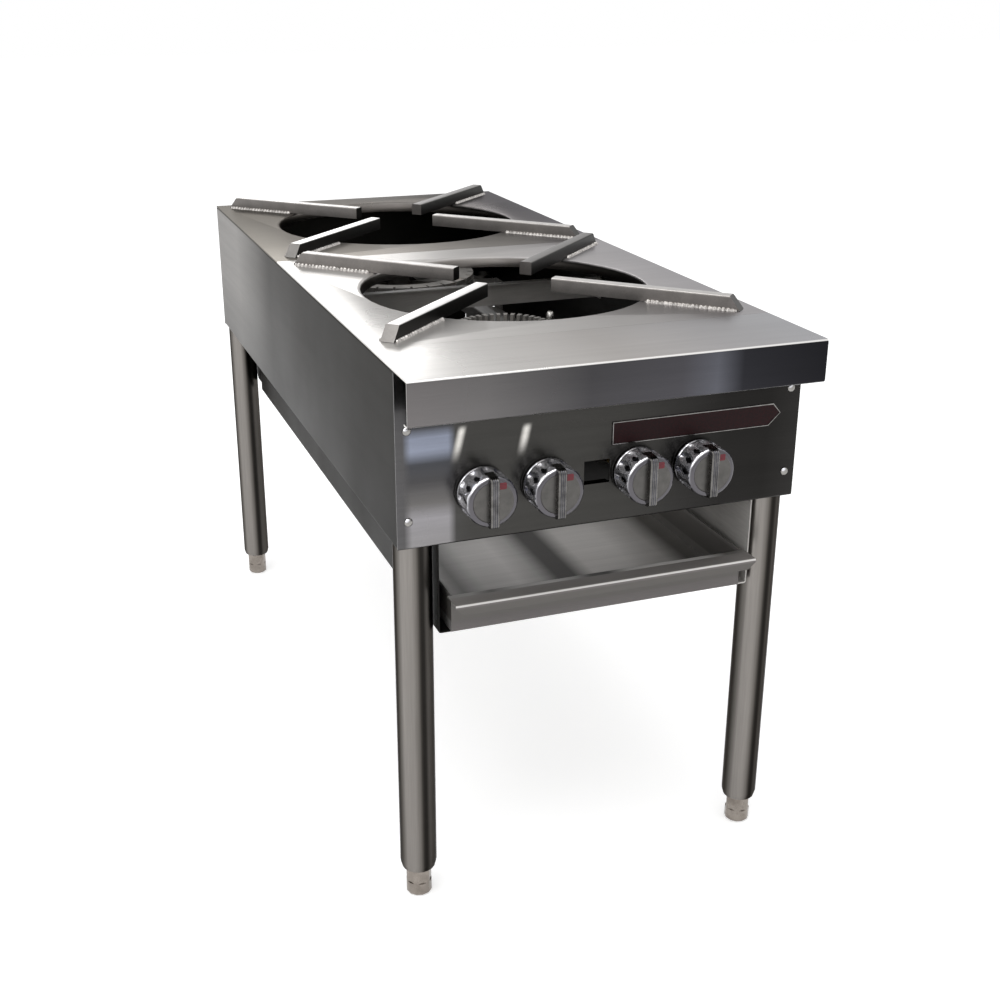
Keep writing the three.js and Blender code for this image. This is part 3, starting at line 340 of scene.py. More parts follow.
steelLooks = {
    # painted reflection, dark at the front and pale at the back, with painted shade towards the bottom and on
    # the inside face
    "side": dict(
        sideSteel, edge="#b8b8b8",
        tones=[
            ("Y", [(-0.5, "#494846"), (-0.2, "#4e4d4b"), (0.1, "#676563"), (0.33, "#d0cdca"),
                   (0.5, "#cbc8c5")]),
            ("Z", [(0.43, 0.4), (0.52, 0.78), (0.62, 1.0)]),
        ],
        paintedShadeMasks=[beyond("X", -0.2281, 1)]),
    # painted shade towards the bottom and on the inside face
    "sideRight": dict(
        sideSteel, edge="#cfcfcf",
        tones=[("Z", [(0.43, "#6a6866"), (0.53, "#7d7b78"), (0.62, "#8e8b88")])],
        paintedShadeMasks=[beyond("X", 0.2281, -1)]),
    # painted shade on the inside face
    "back": dict(
        sandedSteel, colour="#807d7a", rough=(0.32, 0.42),
        paintedShadeColour="#2b2a28", paintedShadeMasks=[beyond("Y", 0.4911, -1)]),
    # painted reflections: pale at the left, dark to the right, a blue-grey patch at the left end and two
    # glints above the knobs; painted shade on the inside face
    "control": dict(
        sandedSteel, broadScale=70, streak=0.1, cloud=0.1, rough=(0.22, 0.32), anisotropic=0.75,
        tones=[
            ("X", [(-0.23, "#5a595a"), (-0.15, "#454442"), (0.02, "#3f3e3c"), (0.09, "#333231"),
                   (0.14, "#282726"), (0.19, "#262524"), (0.23, "#302f2e")]),
        ],
        zones=[
            (between("X", -0.221, -0.166, 0.008), "Z",
             [(0.438, "#8b898a"), (0.466, "#918f92"), (0.482, "#6b6968"), (0.505, "#4e4d4e"),
              (0.524, "#4b4c50"), (0.538, "#8d93a3"), (0.551, "#8a90a0"), (0.562, "#4a4a4c"),
              (0.58, "#333333")]),
            (glint((-0.1600, -0.1665), (0.553, 0.526), 0.0062, 0.016), "Z",
             [(0.52, "#cfccc7"), (0.56, "#ebe8e2")]),
            (glint((-0.0905, -0.0955), (0.548, 0.525), 0.0066, 0.016), "Z",
             [(0.52, "#cfccc7"), (0.56, "#efece6")]),
        ],
        paintedShadeColour="#242322", paintedShadeMasks=[beyond("Y", -0.4892, 1)]),
    # painted sheen, near white at the left and grey to the right, a painted reflection on the front face and a
    # painted highlight along the fold
    "ledge": dict(
        topSteel,
        tones=[
            ("X", [(-0.23, "#f4f2ef"), (-0.12, "#d4d1ce"), (0.0, "#bab6b3"), (0.12, "#b5b3b4"),
                   (0.23, "#bababd")]),
        ],
        zones=[
            (beyond("Y", -0.5316, -1, 0.0012), "X",
             [(-0.2285, "#6f6c6c"), (-0.15, "#696767"), (-0.04, "#464547"), (0.06, "#4b4a4e"),
              (0.1, "#5a5b62"), (0.13, "#2d2d31"), (0.2285, "#222225")]),
        ],
        facing=[((0, -0.707, 0.707), 0.93, 0.985, "#f6f4f2")]),
    # painted sheen, pale at the left, painted light and shade on the collar round the opening, and painted
    # shade below it
    "frontPlate": dict(
        topSteel,
        tones=[
            ("X", [(-0.23, "#e9e7e4"), (-0.15, "#dedbd8"), (-0.05, "#c8c5c2"), (0.05, "#b9b6b4"),
                   (0.23, "#b4b1b3")]),
        ],
        zones=[
            (beyond("Z", 0.6225, -1, 0.002), "X",
             [(-0.17, "#3a3835"), (-0.06, "#a39e9a"), (0.05, "#a39e9a"), (0.09, "#5d5956"),
              (0.17, "#33312f")]),
        ],
        paintedShadeMasks=[beyond("Z", 0.6085, -1, 0.002)]),
    # painted reflection, brighter at the front edge, painted light and shade on the collar, and painted shade
    # below it
    "rearPlate": dict(
        topSteel, edge="#a2a2a2", cloud=0.05,
        tones=[
            ("X", [(-0.23, "#89857f"), (-0.05, "#827e7a"), (0.12, "#7d7a77"), (0.23, "#7f7c80")]),
            ("Y", [(0.05, 1.85), (0.14, 1.3), (0.3, 1.0), (0.52, 0.94)]),
        ],
        zones=[
            (beyond("Z", 0.6225, -1, 0.002), "X",
             [(-0.17, "#3a3835"), (-0.06, "#8a8581"), (0.05, "#8a8581"), (0.09, "#55514e"),
              (0.17, "#33312f")]),
        ],
        paintedShadeMasks=[beyond("Z", 0.6085, -1, 0.002)]),
    # made pale and nearly matt: painted light for its place in the dark box
    "baffle": dict(millSteel, colour="#c4c1bd", metal=0.1, cloud=0.2),
    # painted light and shade in bands round the tube, by the way each face is turned
    "leg": dict(
        sandedSteel, edge="#a8a8a8", grain="Z", fineScale=700, broadScale=110, streak=0.14,
        rough=(0.26, 0.36), anisotropic=0.5,
        round=("X", [(-1.0, "#403d3a"), (-0.95, "#625f5b"), (-0.8, "#8b8783"), (-0.35, "#85817d"),
                     (-0.14, "#6b6763"), (0.02, "#3b3835"), (0.12, "#272523"), (0.25, "#2a2826"),
                     (0.42, "#504d4a"), (0.94, "#5a5753"), (1.0, "#5a5753")])),
    # painted reflections in bands across the floor and the lip's front, a painted highlight on the lip's top,
    # and painted shade under it and on the wall below
    "tray": dict(
        sandedSteel, metal=0.3, broadScale=60, cloud=0.1, rough=(0.28, 0.38), stretch=(0, 1, 0),
        tones=[
            ("X", [(-0.19, "#8f8d8b"), (-0.15, "#a09e9c"), (-0.128, "#5b5957"), (-0.1, "#b5b3b1"),
                   (-0.06, "#d0cdcb"), (-0.035, "#b0aeac"), (-0.014, "#3e3c3a"), (0.006, "#3e3c3a"),
                   (0.03, "#c8c5c2"), (0.08, "#e0ddda"), (0.125, "#d0cdca"), (0.15, "#66635f"),
                   (0.19, "#8a8784")]),
        ],
        zones=[(beyond("Y", -0.4925, -1, 0.001), "X", [(-0.2, "#8d8986"), (0.2, "#827e7b")])],
        facing=[
            ((0, -1, 0), 0.75, 0.95, "#767170"),
            ((0, -0.707, 0.707), 0.9, 0.97, "#e9e6e3"),
            ((0, -0.707, -0.707), 0.6, 0.9, "#4a4745"),
        ],
        paintedShadeColour="#5a5754", paintedShadeMasks=[between("Z", 0.3425, 0.3715, 0.002)]),
    # painted shade on the left runner and its tail, painted light on the inside of the right runner
    "dull": dict(
        millSteel, colour="#8d8a87", metal=0.4, edge="#8a8a8a", grain="Y", cloud=0.25,
        zones=[
            (beyond("X", -0.15, -1), "Y", [(-0.5, "#191816"), (-0.3, "#2c2b29"), (0.5, "#363432")]),
            (between("X", 0.15, 0.1834, 0.0003), "Y", [(-0.5, "#d8d5d1"), (0.5, "#a09d9a")]),
        ]),
    # kept dark as painted shade, as it is seen only through the window
    "shield": dict(sootySteel, colour="#2b2a29", metal=0.6, cloud=0.3),
    # lightened: painted light for the dark inside of the box
    "inner": dict(sootySteel, colour="#6c6a67", metal=0.4, grain="Y", cloud=0.35),
    # pot-rest bars with painted light and shade by face; the front-left bars' tops in painted sheen, the
    # back-right ones' in painted shade
    "arm": dict(armSteel, facing=armFacing("#8a8683", "#c4c1be")),
    "armWhiteTop": dict(armSteel, facing=armFacing("#bfbcb9", "#efedeb") + [armSlope]),
    "armDarkTop": dict(armSteel, facing=armFacing("#8a8683", "#6f6c6a") + [armSlope]),
}
steel = {key: brushedSteel("brushed_" + key, look) for key, look in steelLooks.items()}

ironLooks = {
    "cast_iron": {"dark": "#63615e", "colour": "#86837f", "rust": "#7f7165", "rough": (0.5, 0.75),
                  "metal": 0.5},
    "black_pipe": {"dark": "#1c1b1a", "colour": "#262423", "rust": "#2e2824", "rough": (0.4, 0.6),
                   "metal": 0.6},
}
iron = {name: castIron(name, look) for name, look in ironLooks.items()}

platedLooks = {
    # chrome on the knobs' bodies: painted shade below, to the right and at the rim, with a painted highlight
    # up to the left
    "chrome": {
        "dark": "#b9b9bd", "colour": "#dcdce0", "metal": 0.82, "hazeScale": 40, "rough": (0.05, 0.14),
        "facing": [((0, 0, -1), -0.2, 0.45, "#48474b"), ((0.94, -0.34, 0), 0.2, 0.8, "#4b4c5e"),
                   ((0, -1, 0), 0.45, 0.85, "#5a585c"), ((-0.55, -0.35, 0.76), 0.72, 0.94, "#fbfaff")]},
    # painted shade in the heart of a flute, for the dark walls that it mirrors
    "chrome_in_shade": {"dark": "#2a2a2e", "colour": "#55555c", "hazeScale": 60, "rough": (0.1, 0.2)},
    # lathe-turned face, satin
    "brushed_knob_face": {"dark": "#51504e", "colour": "#605e5c", "hazeScale": 90, "rough": (0.3, 0.42)},
    "grip_ridge_metal": {"dark": "#52514f", "colour": "#777573", "hazeScale": 120, "rough": (0.2, 0.32)},
    # ground steel weld, its facets 3 mm across bright and dull by turns
    "ground_weld": {"dark": "#8d8986", "colour": "#d6d2ce", "hazeScale": 300, "rough": (0.2, 0.5)},
    # turned steel, slightly warm from the floor
    "foot_metal": {"dark": "#766f68", "colour": "#958e87", "hazeScale": 60, "rough": (0.2, 0.34)},
    # rolled screw heads, with a painted glint on the dome
    "screw_metal": {
        "dark": "#7f7d7a", "colour": "#989693", "hazeScale": 300, "rough": (0.14, 0.26),
        "facing": [((-0.3, -0.8, 0.5), 0.86, 0.98, "#f6f6fc"), ((0, 0.8, 0.6), 0.86, 0.98, "#f6f6fc")]},
    # forged valve bodies, tarnished
    "brass": {"dark": "#8a6f3a", "colour": "#b99a55", "hazeScale": 80, "rough": (0.22, 0.4)},
    # drawn stainless pilot tube and tip, clean
    "pin_metal": {"dark": "#c9c6c0", "colour": "#eeece8", "hazeScale": 200, "rough": (0.2, 0.3)},
    # pressed aluminium round the bare plate
    "plate_rim": {"dark": "#6f6d6b", "colour": "#949290", "hazeScale": 120, "rough": (0.14, 0.26)},
}
metal = {name: plated(name, look) for name, look in platedLooks.items()}

enamelLooks = {
    "red_field": {"dark": "#150204", "colour": "#260508", "speckScale": 700, "rough": (0.35, 0.5),
                  "shine": 0.15},
    "red_mark": {"dark": "#4c0412", "colour": "#740a20", "speckScale": 900, "rough": (0.4, 0.55),
                 "shine": 0.5},
}
paint = {name: enamel(name, look) for name, look in enamelLooks.items()}
print("materials made")


# which finish each frame node wears: the first line that fits its name
nodeFinishes = [
    ("left_side_panel", steel["side"]),
    ("right_side_panel", steel["sideRight"]),
    ("back_panel", steel["back"]),
    ("front_control_panel", steel["control"]),
    ("front_ledge", steel["ledge"]),
    ("front_top_plate", steel["frontPlate"]),
    ("rear_top_plate", steel["rearPlate"]),
    ("*_plate_arm_front_left", steel["armWhiteTop"]),
    ("*_plate_arm_back_right", steel["armDarkTop"]),
    ("*_plate_arm_*", steel["arm"]),
    ("*_leg", steel["leg"]),
    ("*_foot", metal["foot_metal"]),
    ("drip_tray", steel["tray"]),
    ("middle_baffle", steel["baffle"]),
    ("*_tray_runner", steel["dull"]),
    ("*_bracket", steel["dull"]),
    ("manifold_heat_shield", steel["shield"]),
    ("*_rail", steel["inner"]),
    ("*burner*", iron["cast_iron"]),
    ("*_pilot", metal["pin_metal"]),
    ("gas_valve*", metal["brass"]),
    ("valve_stem*", metal["screw_metal"]),
    ("*", iron["black_pipe"]),
]
creaseAngle = math.radians(32)
mergeDistance = 0.02 * mm


def softenEdges(thing):
    # smooth shading across round faces, crisp along every fold
    for polygon in thing.data.polygons:
        polygon.use_smooth = True
    crease = thing.modifiers.new("crease", "EDGE_SPLIT")
    crease.split_angle = creaseAngle


for name, node in nodes.items():
    node.data.materials.clear()
    node.data.materials.append(next(finish for pattern, finish in nodeFinishes if fnmatch(name, pattern)))
    weld = node.modifiers.new("weld", "WELD")
    weld.merge_threshold = mergeDistance
    softenEdges(node)
print("frame nodes dressed")


def outwardMesh(mesh):
    tool = bmesh.new()
    tool.from_mesh(mesh)
    bmesh.ops.recalc_face_normals(tool, faces=tool.faces)
    tool.to_mesh(mesh)
    tool.free()


# small mesh pieces that the solids carry
def addPiece(name, points, faces, materials, body, slots=None):
    mesh = bpy.data.meshes.new(name)
    mesh.from_pydata([Vector(point) for point in points], [], faces)
    for material in materials:
        mesh.materials.append(material)
    if slots:
        for polygon, index in zip(mesh.polygons, slots):
            polygon.material_index = index
    mesh.update()
    outwardMesh(mesh)
    piece = bpy.data.objects.new(name, mesh)
    bpy.context.scene.collection.objects.link(piece)
    softenEdges(piece)
    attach(piece, body)
    return piece


def closedRings(rings):
    # skins a stack of equal rings and caps both ends
    columns = len(rings[0])
    points = [point for ring in rings for point in ring]
    last = len(points) - columns
    faces = []
    for start in range(0, last, columns):
        for column in range(columns):
            a, b = start + column, start + (column + 1) % columns
            faces.append((a, b, b + columns, a + columns))
    faces.append(tuple(reversed(range(columns))))
    faces.append(tuple(range(last, last + columns)))
    return points, faces


def turnsOf(count):
    return [2 * math.pi * k / count for k in range(count)]


# chrome control knob: scalloped body, flat brushed face, lined grip ridge and a red mark
knobLook = {
    "columns": 144,
    "skirt": [(26.0, 0), (27.0, 0.8), (27.0, 2.6), (25.8, 3.8), (26.0, 4.6)],  # radius, off the panel
    "bodyRadius": 27.6,
    "bodyFrom": 5.4,  # off the panel
    "bodyRings": 16,
    "depth": 34.6,  # panel side to face
    "shoulder": 5.4,
    "shoulderRings": 6,
    "lip": (0.5, 1.2),  # inside the shoulder: the lip's inner edge, and the foot of its slope
    "faceDish": 0.5,
    "dimples": 12,
    "dimpleWidth": 12.5,
    "dimpleLength": 25,
    "dimpleMiddle": 19.2,
    "dimpleDepth": 4.0,
    "shadeFrom": 0.72,  # how far into a dimple its painted shade starts
    "ridgeWidth": 10.0,
    "ridgeHeight": 6.4,
    "ridgeReach": 27.2,
    "ridgeBevel": [(0, 0.0), (0.5, 0.72), (1.1, 1.0)],  # in from its side, share of height
    "ridgeLines": 3,
    "ridgeLine": [(-0.55, 1.0), (-0.2, 0.86), (0.2, 0.86), (0.55, 1.0)],  # across, share of height
    "ridgeCut": 2.4,  # how deep a share of 0 would be
    "ridgeRings": 28,
    "ridgeEnd": 5,  # length of its rounded ends
    "ridgeFall": 7.5,  # how far the crown drops there
    "ridgeRoots": (5.9, 15.0),  # how far behind the face its base lies, at its middle and its ends
    "mark": {"right": 9.8, "up": 16.6, "width": 8.4, "height": 7.0, "corner": 1.4, "root": 1.2,
             "proud": 0.25, "edge": 0.2},
}


def knobBody(look):
    columns, depth, shoulder, body = (look[key] for key in ("columns", "depth", "shoulder", "bodyRadius"))
    profile = list(look["skirt"])
    straight = depth - shoulder - look["bodyFrom"]
    for i in range(look["bodyRings"] + 1):
        profile.append((body, look["bodyFrom"] + straight * i / look["bodyRings"]))
    rim = body - shoulder
    for i in range(1, look["shoulderRings"] + 1):
        turn = math.pi / 2 * i / look["shoulderRings"]
        profile.append((rim + shoulder * math.cos(turn), depth - shoulder + shoulder * math.sin(turn)))
    face = depth - look["faceDish"]
    profile += [(rim - look["lip"][0], depth), (rim - look["lip"][1], face), (rim * 0.5, face)]
    share = 2 * math.pi / look["dimples"]
    rings = []
    hollow = []
    for radius, back in profile:
        ring = []
        row = []
        for turn in turnsOf(columns):
            off = (turn + share / 2) % share - share / 2
            u = off * body / (look["dimpleWidth"] / 2)
            v = (back - look["dimpleMiddle"]) / (look["dimpleLength"] / 2)
            inside = max(0.0, 1 - u * u - v * v)
            sunk = radius - look["dimpleDepth"] * math.sqrt(inside)
            ring.append((sunk * math.sin(turn), -back, sunk * math.cos(turn)))
            row.append(inside)
        rings.append(ring)
        hollow.append(row)
    faceRow = len(rings) - 3
    slots = []
    for row in range(len(rings) - 1):
        for column in range(columns):
            deep = (hollow[row][column] + hollow[row + 1][(column + 1) % columns]) / 2
            slots.append(1 if deep > look["shadeFrom"] else 2 if row >= faceRow else 0)
    return (*closedRings(rings), slots + [0, 2])


def knobRidge(look):
    # a bar across the face, its top cut by fine lines, its ends rounded down over the shoulder
    half = look["ridgeWidth"] / 2
    bevel, line, lines, steps = (look[key] for key in ("ridgeBevel", "ridgeLine", "ridgeLines", "ridgeRings"))
    flat = half - bevel[-1][0]
    section = [(-half + inward, height) for inward, height in bevel]
    for number in range(1, lines + 1):
        at = flat * (2 * number / (lines + 1) - 1)
        section += [(at + across, height) for across, height in line]
    section += [(half - inward, height) for inward, height in reversed(bevel)]
    middleRoot, endRoot = look["ridgeRoots"]
    rings = []
    for i in range(steps + 1):
        t = -1 + 2 * i / steps
        along = look["ridgeReach"] * math.copysign(1 - (1 - abs(t)) ** 1.6, t)  # closer rings at the ends
        edge = max(0.0, (abs(along) - look["ridgeReach"]) / look["ridgeEnd"] + 1)
        drop = 1 - math.sqrt(max(0.0, 1 - edge * edge))
        crown = look["depth"] + look["ridgeHeight"] - look["ridgeFall"] * drop
        base = look["depth"] - (endRoot if abs(t) > 0.9 else middleRoot)
        rings.append([(x, -(crown - (1 - height) * look["ridgeCut"] if height > 0 else base), along)
                      for x, height in section])
    # the fine lines and the underside are painted in the shaded chrome, as painted shade
    dark = {len(bevel) + len(line) * cut + strip for cut in range(lines) for strip in range(len(line) - 1)}
    dark.add(len(section) - 1)
    slots = [int(column in dark) for row in range(steps) for column in range(len(section))]
    return (*closedRings(rings), slots + [0, 0])


def knobMark(look):
    mark = look["mark"]
    front = look["depth"] + mark["proud"]
    corner = mark["corner"]
    outline = []
    for cx, cz, start in ((1, 1, 0), (-1, 1, 90), (-1, -1, 180), (1, -1, 270)):
        for i in range(5):
            turn = math.radians(start + 22.5 * i)
            outline.append((mark["right"] + cx * (mark["width"] / 2 - corner) + corner * math.cos(turn),
                            mark["up"] + cz * (mark["height"] / 2 - corner) + corner * math.sin(turn)))
    backs = (look["depth"] - mark["root"], front - mark["edge"], front)
    return (*closedRings([[(x, -back, z) for x, z in outline] for back in backs]), None)


def addKnob(number, look):
    low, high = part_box("control_knob_%d" % number)
    centre = Vector(((low[0] + high[0]) / 2, high[1], (low[2] + high[2]) / 2))
    body = "knob_%d" % number

    def knobPiece(part, made, materials):
        points, faces, slots = made
        spots = [centre + Vector(point) * mm for point in points]
        return addPiece("knob_%s_%d" % (part, number), spots, faces, materials, body, slots)
    shade = metal["chrome_in_shade"]
    shell = knobPiece("body", knobBody(look), [metal["chrome"], shade, metal["brushed_knob_face"]])
    knobPiece("ridge", knobRidge(look), [metal["grip_ridge_metal"], shade])
    knobPiece("mark", knobMark(look), [paint["red_mark"]])
    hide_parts("control_knob_%d" % number)


for number in (1, 2, 3, 4):
    addKnob(number, knobLook)
print("knobs made")


# domed screws at the corners of the control panel and the back panel
screwLook = {
    "radius": 4.7,
    "height": 2.6,
    "sink": 0.4,
    "inset": 12.0,
    "top": 560,
    "low": 464,
    "rings": 6,
    "columns": 24,
    "arc": 86,  # short of 90, which leaves a small flat on top
}


def domedScrew(name, spot, outward, look):
    rings = []
    for i in range(look["rings"] + 1):
        turn = math.radians(look["arc"] * i / look["rings"])
        radius = look["radius"] * math.cos(turn)
        lift = look["height"] * math.sin(turn)
        rings.append([(radius * math.cos(a), outward * lift, radius * math.sin(a))
                      for a in turnsOf(look["columns"])])
    rings.insert(0, [(x, -outward * look["sink"], z) for x, y, z in rings[0]])
    points, faces = closedRings(rings)
    spots = [Vector(spot) + Vector(point) * mm for point in points]
    addPiece(name, spots, faces, [metal["screw_metal"]], "range_body")


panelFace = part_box("front_control_panel")[0][1]
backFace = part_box("back_panel")[1][1]
for side, sideName in ((-1, "left"), (1, "right")):
    for level in ("top", "low"):
        x = side * (cadBox[1][0] - screwLook["inset"] * mm)
        z = screwLook[level] * mm
        domedScrew("panel_screw_%s_%s" % (sideName, level), (x, panelFace, z), -1, screwLook)
        domedScrew("back_screw_%s_%s" % (sideName, level), (x, backFace, z), 1, screwLook)
print("screws made")


# bare plate beside the knobs: bright rim with a pointed end round a dark red field
plateLook = {
    "left": 5.0,
    "right": 196.0,
    "point": 205.0,
    "low": 520.0,
    "high": 545.0,
    "pointLevel": 534.0,
    "lowCut": 5.0,  # how much sooner the lower edge turns to the point
    "profile": [(0, -0.3), (0, 1.3), (0.4, 1.8), (1.1, 1.8), (1.4, 1.1)],  # inset, off the panel
}


def addRatingPlate(look):
    left, right, point, cut = (look[key] * mm for key in ("left", "right", "point", "lowCut"))
    low, high, level = (look[key] * mm for key in ("low", "high", "pointLevel"))
    outline = [(left, low), (right - cut, low), (point, level), (right, high), (left, high)]
    centre = ((left + right) / 2, (low + high) / 2)
    halfX, halfZ = (point - left) / 2, (high - low) / 2

    def ring(inset, forward):
        shrinkX, shrinkZ = 1 - inset * mm / halfX, 1 - inset * mm / halfZ
        return [(centre[0] + (x - centre[0]) * shrinkX, panelFace - forward * mm,
                 centre[1] + (z - centre[1]) * shrinkZ) for x, z in outline]
    points, faces = closedRings([ring(inset, forward) for inset, forward in look["profile"]])
    slots = [0] * (len(faces) - 1) + [1]
    addPiece("rating_plate", points, faces, [metal["plate_rim"], paint["red_field"]], "range_body", slots)


addRatingPlate(plateLook)
print("rating plate made")


# weld beads along both sides of each pot-rest bar's foot
weldLook = {
    "from": 181.0,  # along the bar, from the burner's middle
    "to": 289.0,
    "radius": 3.1,
    "columns": 9,
    "step": 1.3,
    "ripple": 5.2,
    "swell": (0.72, 0.34, 0.08),  # shares of the radius: least, added at a ripple, random either way
    "taper": 0.45,  # at both ends
    "away": 0.9,  # off the bar's side
    "barWidth": 15.9,
    "deck": 624.0,
}
barTurns = {"front_left": 225, "front_right": 315, "back_left": 135, "back_right": 45}
burnerMiddle = {}
for section in ("front", "rear"):
    corners = [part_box(section + "_plate_arm_" + end) for end in ("front_left", "back_right")]
    burnerMiddle[section] = (corners[0][0][1] + corners[1][1][1]) / 2


def addWeld(name, section, turn, side, look):
    rng = random.Random(name)
    least, wave, stray = look["swell"]
    ahead = Vector((math.cos(turn), math.sin(turn), 0))
    aside = Vector((-math.sin(turn), math.cos(turn), 0)) * side
    above = Vector((0, 0, 1))
    start = Vector((0, burnerMiddle[section], look["deck"] * mm))
    start += aside * (look["barWidth"] / 2 + look["away"]) * mm
    count = int((look["to"] - look["from"]) / look["step"])
    rings = []
    for i in range(count + 1):
        along = look["from"] + i * look["step"]
        swell = least + wave * abs(math.sin(math.pi * along / look["ripple"])) + rng.uniform(-stray, stray)
        if i in (0, count):
            swell *= look["taper"]
        radius = look["radius"] * swell * mm
        heart = start + ahead * along * mm
        rings.append([heart + aside * radius * math.cos(a) + above * radius * math.sin(a)
                      for a in turnsOf(look["columns"])])
    points, faces = closedRings(rings)
    addPiece(name, points, faces, [metal["ground_weld"]], section + "_top")


for section in ("front", "rear"):
    for word, turn in barTurns.items():
        for side in (-1, 1):
            name = "%s_weld_%s_%d" % (section, word, side + 2)
            addWeld(name, section, math.radians(turn), side, weldLook)
print("weld beads made")


# strip under the back panel that stops the tray and closes the gap above its rear wall
stopLook = {
    "across": 372,
    "low": 387.0,
    "sheet": 1.2,
    "fold": 12.0,
    "inside": 0.4,  # in front of the panel's outer side
    "overlap": 0.2,  # up into the panel's lower edge
}


def addTrayStop(look):
    low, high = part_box("back_panel")
    half, sheet, bottom = look["across"] / 2 * mm, look["sheet"] * mm, look["low"] * mm
    back = high[1] - look["inside"] * mm
    top = low[2] + look["overlap"] * mm
    foldY = back - look["fold"] * mm
    outline = [(back, top), (back, bottom), (foldY, bottom), (foldY, bottom + sheet),
               (back - sheet, bottom + sheet), (back - sheet, top)]
    points, faces = closedRings([[(x, y, z) for y, z in outline] for x in (-half, half)])
    addPiece("tray_stop_strip", points, faces, [steel["back"]], "range_body")


addTrayStop(stopLook)
print("tray stop made")


# short plate that carries each runner's wall back to the tray stop, past the rear leg
tailLook = {"wall": 183.9, "sheet": 1.2, "low": 344.0, "top": 432.0, "reach": 478.4, "corner": 10.0,
            "gap": 0.2}


def addRunnerTail(side, look):
    word = "left" if side < 0 else "right"
    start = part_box(word + "_tray_runner")[1][1] + look["gap"] * mm
    low, top, reach, corner = (look[key] * mm for key in ("low", "top", "reach", "corner"))
    outline = [(start, low), (reach - corner, low), (reach, low + corner), (reach, top), (start, top)]
    outer, inner = side * look["wall"] * mm, side * (look["wall"] - look["sheet"]) * mm
    points, faces = closedRings([[(x, y, z) for y, z in outline] for x in (outer, inner)])
    addPiece(word + "_runner_tail", points, faces, [steel["dull"]], "range_body")


for side in (-1, 1):
    addRunnerTail(side, tailLook)
print("runner tails made")


# second pilot of each burner, on the side away from the first one, with the tube that feeds it
pilotLook = {
    "setback": 18.0,
    "across": 57.0,
    "lean": 10.0,
    "leanFrom": 533.0,
    "run": 452.0,
    "tubeRadius": 3.0,
    "straight": 4.0,  # of tube below the tip, and inside it
    "bend": 8.0,
    "bendSteps": 6,
    "tipTop": 582.0,
    "tip": [(3.5, 0), (5.0, 1), (5.0, 13), (3.5, 16)],  # radius, height
    "tipColumns": 24,
}


def addSecondPilot(name, side, middleY, startY, look):
    x = side * look["across"] * mm
    tipX = side * (look["across"] + look["lean"]) * mm
    y = middleY + look["setback"] * mm
    tubeTop = (look["tipTop"] - look["tip"][-1][1]) * mm
    straight, bend, steps = look["straight"] * mm, look["bend"] * mm, look["bendSteps"]
    path = [Vector((x, y, look["run"] * mm)), Vector((x, y, look["leanFrom"] * mm)),
            Vector((tipX, y, tubeTop - straight)), Vector((tipX, y, tubeTop + straight))]
    if startY is not None:
        path.insert(0, Vector((x, startY, look["run"] * mm)))
    rounded = [path[0]]
    for before, corner, after in zip(path, path[1:], path[2:]):
        reach = min(bend, (corner - before).length / 2, (after - corner).length / 2)
        start = corner + (before - corner).normalized() * reach
        end = corner + (after - corner).normalized() * reach
        for i in range(steps + 1):
            t = i / steps
            rounded.append(start.lerp(corner, t).lerp(corner.lerp(end, t), t))
    rounded.append(path[-1])
    curve = bpy.data.curves.new(name + "_path", "CURVE")
    curve.dimensions = "3D"
    spline = curve.splines.new("POLY")
    spline.points.add(len(rounded) - 1)
    for point, spot in zip(spline.points, rounded):
        point.co = (*spot, 1)
    curve.bevel_depth = look["tubeRadius"] * mm
    curve.bevel_resolution = 4
    curve.use_fill_caps = True
    curve.materials.append(metal["pin_metal"])
    tube = bpy.data.objects.new(name + "_tube", curve)
    bpy.context.scene.collection.objects.link(tube)
    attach(tube, "range_body")
    rings = [[(tipX + radius * mm * math.cos(a), y + radius * mm * math.sin(a), tubeTop + z * mm)
              for a in turnsOf(look["tipColumns"])] for radius, z in look["tip"]]
    points, faces = closedRings(rings)
    addPiece(name + "_tip", points, faces, [metal["pin_metal"]], "range_body")


rearFeed = burnerMiddle["front"] + pilotLook["setback"] * mm  # the rear tube runs from beside the front one
addSecondPilot("front_second_pilot", -1, burnerMiddle["front"], None, pilotLook)
addSecondPilot("rear_second_pilot", 1, burnerMiddle["rear"], rearFeed, pilotLook)
print("second pilots made")


# floor, background and lamps
lighting = {
    "floor": "#f2f2f2",
    "floorHalf": 14,  # metres
    "floorGlow": 0.42,  # added where it is seen, not to the light on the object
    "world": 0.75,  # the light on the object; where the world is seen it is 1, white
    "lamps": [
        # name, place, aimed at, size across and up, watts
        ("overTray", (0.0, -0.12, 0.425), (0.0, -0.12, 0.0), 0.3, 0.5, 0.2),  # light through the openings
        ("behindLeft", (0.55, 3.3, 2.0), (0.0, -0.2, 0.62), 0.9, 0.7, 10),
        ("overhead", (-0.6, -0.6, 3.0), (0.0, 0.0, 0.5), 2.4, 2.4, 45),
        ("frontLeft", (-2.6, -2.4, 1.9), (0.0, -0.4, 0.45), 1.2, 1.6, 8),
    ],
}


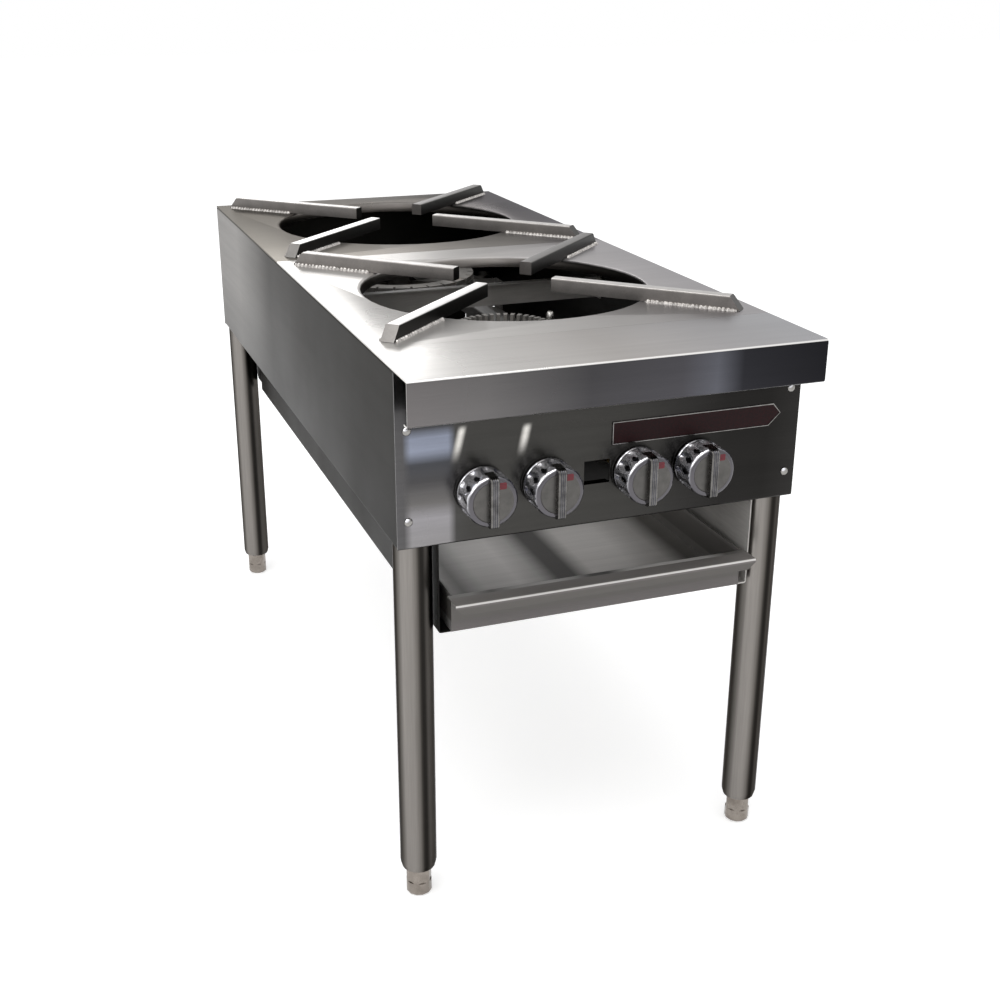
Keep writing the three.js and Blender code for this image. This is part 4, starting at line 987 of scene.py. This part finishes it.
# 1 where the camera sees a thing, straight or in metal or glass, and 0 for the light that it gives
def seenShare(tree):
    path = put(tree, "ShaderNodeLightPath")
    seen = path.outputs["Is Camera Ray"]
    for kind in ("Is Glossy Ray", "Is Transmission Ray"):
        seen = put(tree, "ShaderNodeMath", {"operation": "MAXIMUM"}, i0=seen, i1=path.outputs[kind])
    return seen


def addStage(look):
    mesh = bpy.data.meshes.new("floor")
    half = look["floorHalf"]
    corners = [(-half, -half, 0), (half, -half, 0), (half, half, 0), (-half, half, 0)]
    mesh.from_pydata(corners, [], [(0, 1, 2, 3)])
    floor = bpy.data.objects.new("floor", mesh)
    bpy.context.scene.collection.objects.link(floor)
    material, tree = freshMaterial("floor_paint")
    strength = put(tree, "ShaderNodeMath", times, i0=seenShare(tree), i1=look["floorGlow"])
    glow = put(tree, "ShaderNodeEmission", Color=(1, 1, 1, 1), Strength=strength)
    diffuse = put(tree, "ShaderNodeBsdfDiffuse", Color=linear(look["floor"]))
    both = put(tree, "ShaderNodeAddShader", i0=diffuse, i1=glow)
    put(tree, "ShaderNodeOutputMaterial", Surface=both)
    mesh.materials.append(material)

    world = bpy.data.worlds.new("studio")
    bpy.context.scene.world = world
    world.use_nodes = True
    tree = world.node_tree
    tree.nodes.clear()
    strength = put(tree, "ShaderNodeMapRange", Value=seenShare(tree), To_Min=look["world"], To_Max=1.0)
    background = put(tree, "ShaderNodeBackground", Color=(1, 1, 1, 1), Strength=strength)
    put(tree, "ShaderNodeOutputWorld", Surface=background)

    for name, spot, aim, across, up, watts in look["lamps"]:
        data = bpy.data.lights.new(name, "AREA")
        data.shape = "RECTANGLE"
        data.size = across
        data.size_y = up
        data.energy = watts
        lamp = bpy.data.objects.new(name, data)
        bpy.context.scene.collection.objects.link(lamp)
        lamp.location = spot
        lamp.rotation_euler = (Vector(aim) - Vector(spot)).to_track_quat("-Z", "Y").to_euler()
        lamp.visible_camera = False


addStage(lighting)
bpy.context.scene.view_settings.view_transform = "Standard"
print("stage and lamps set")
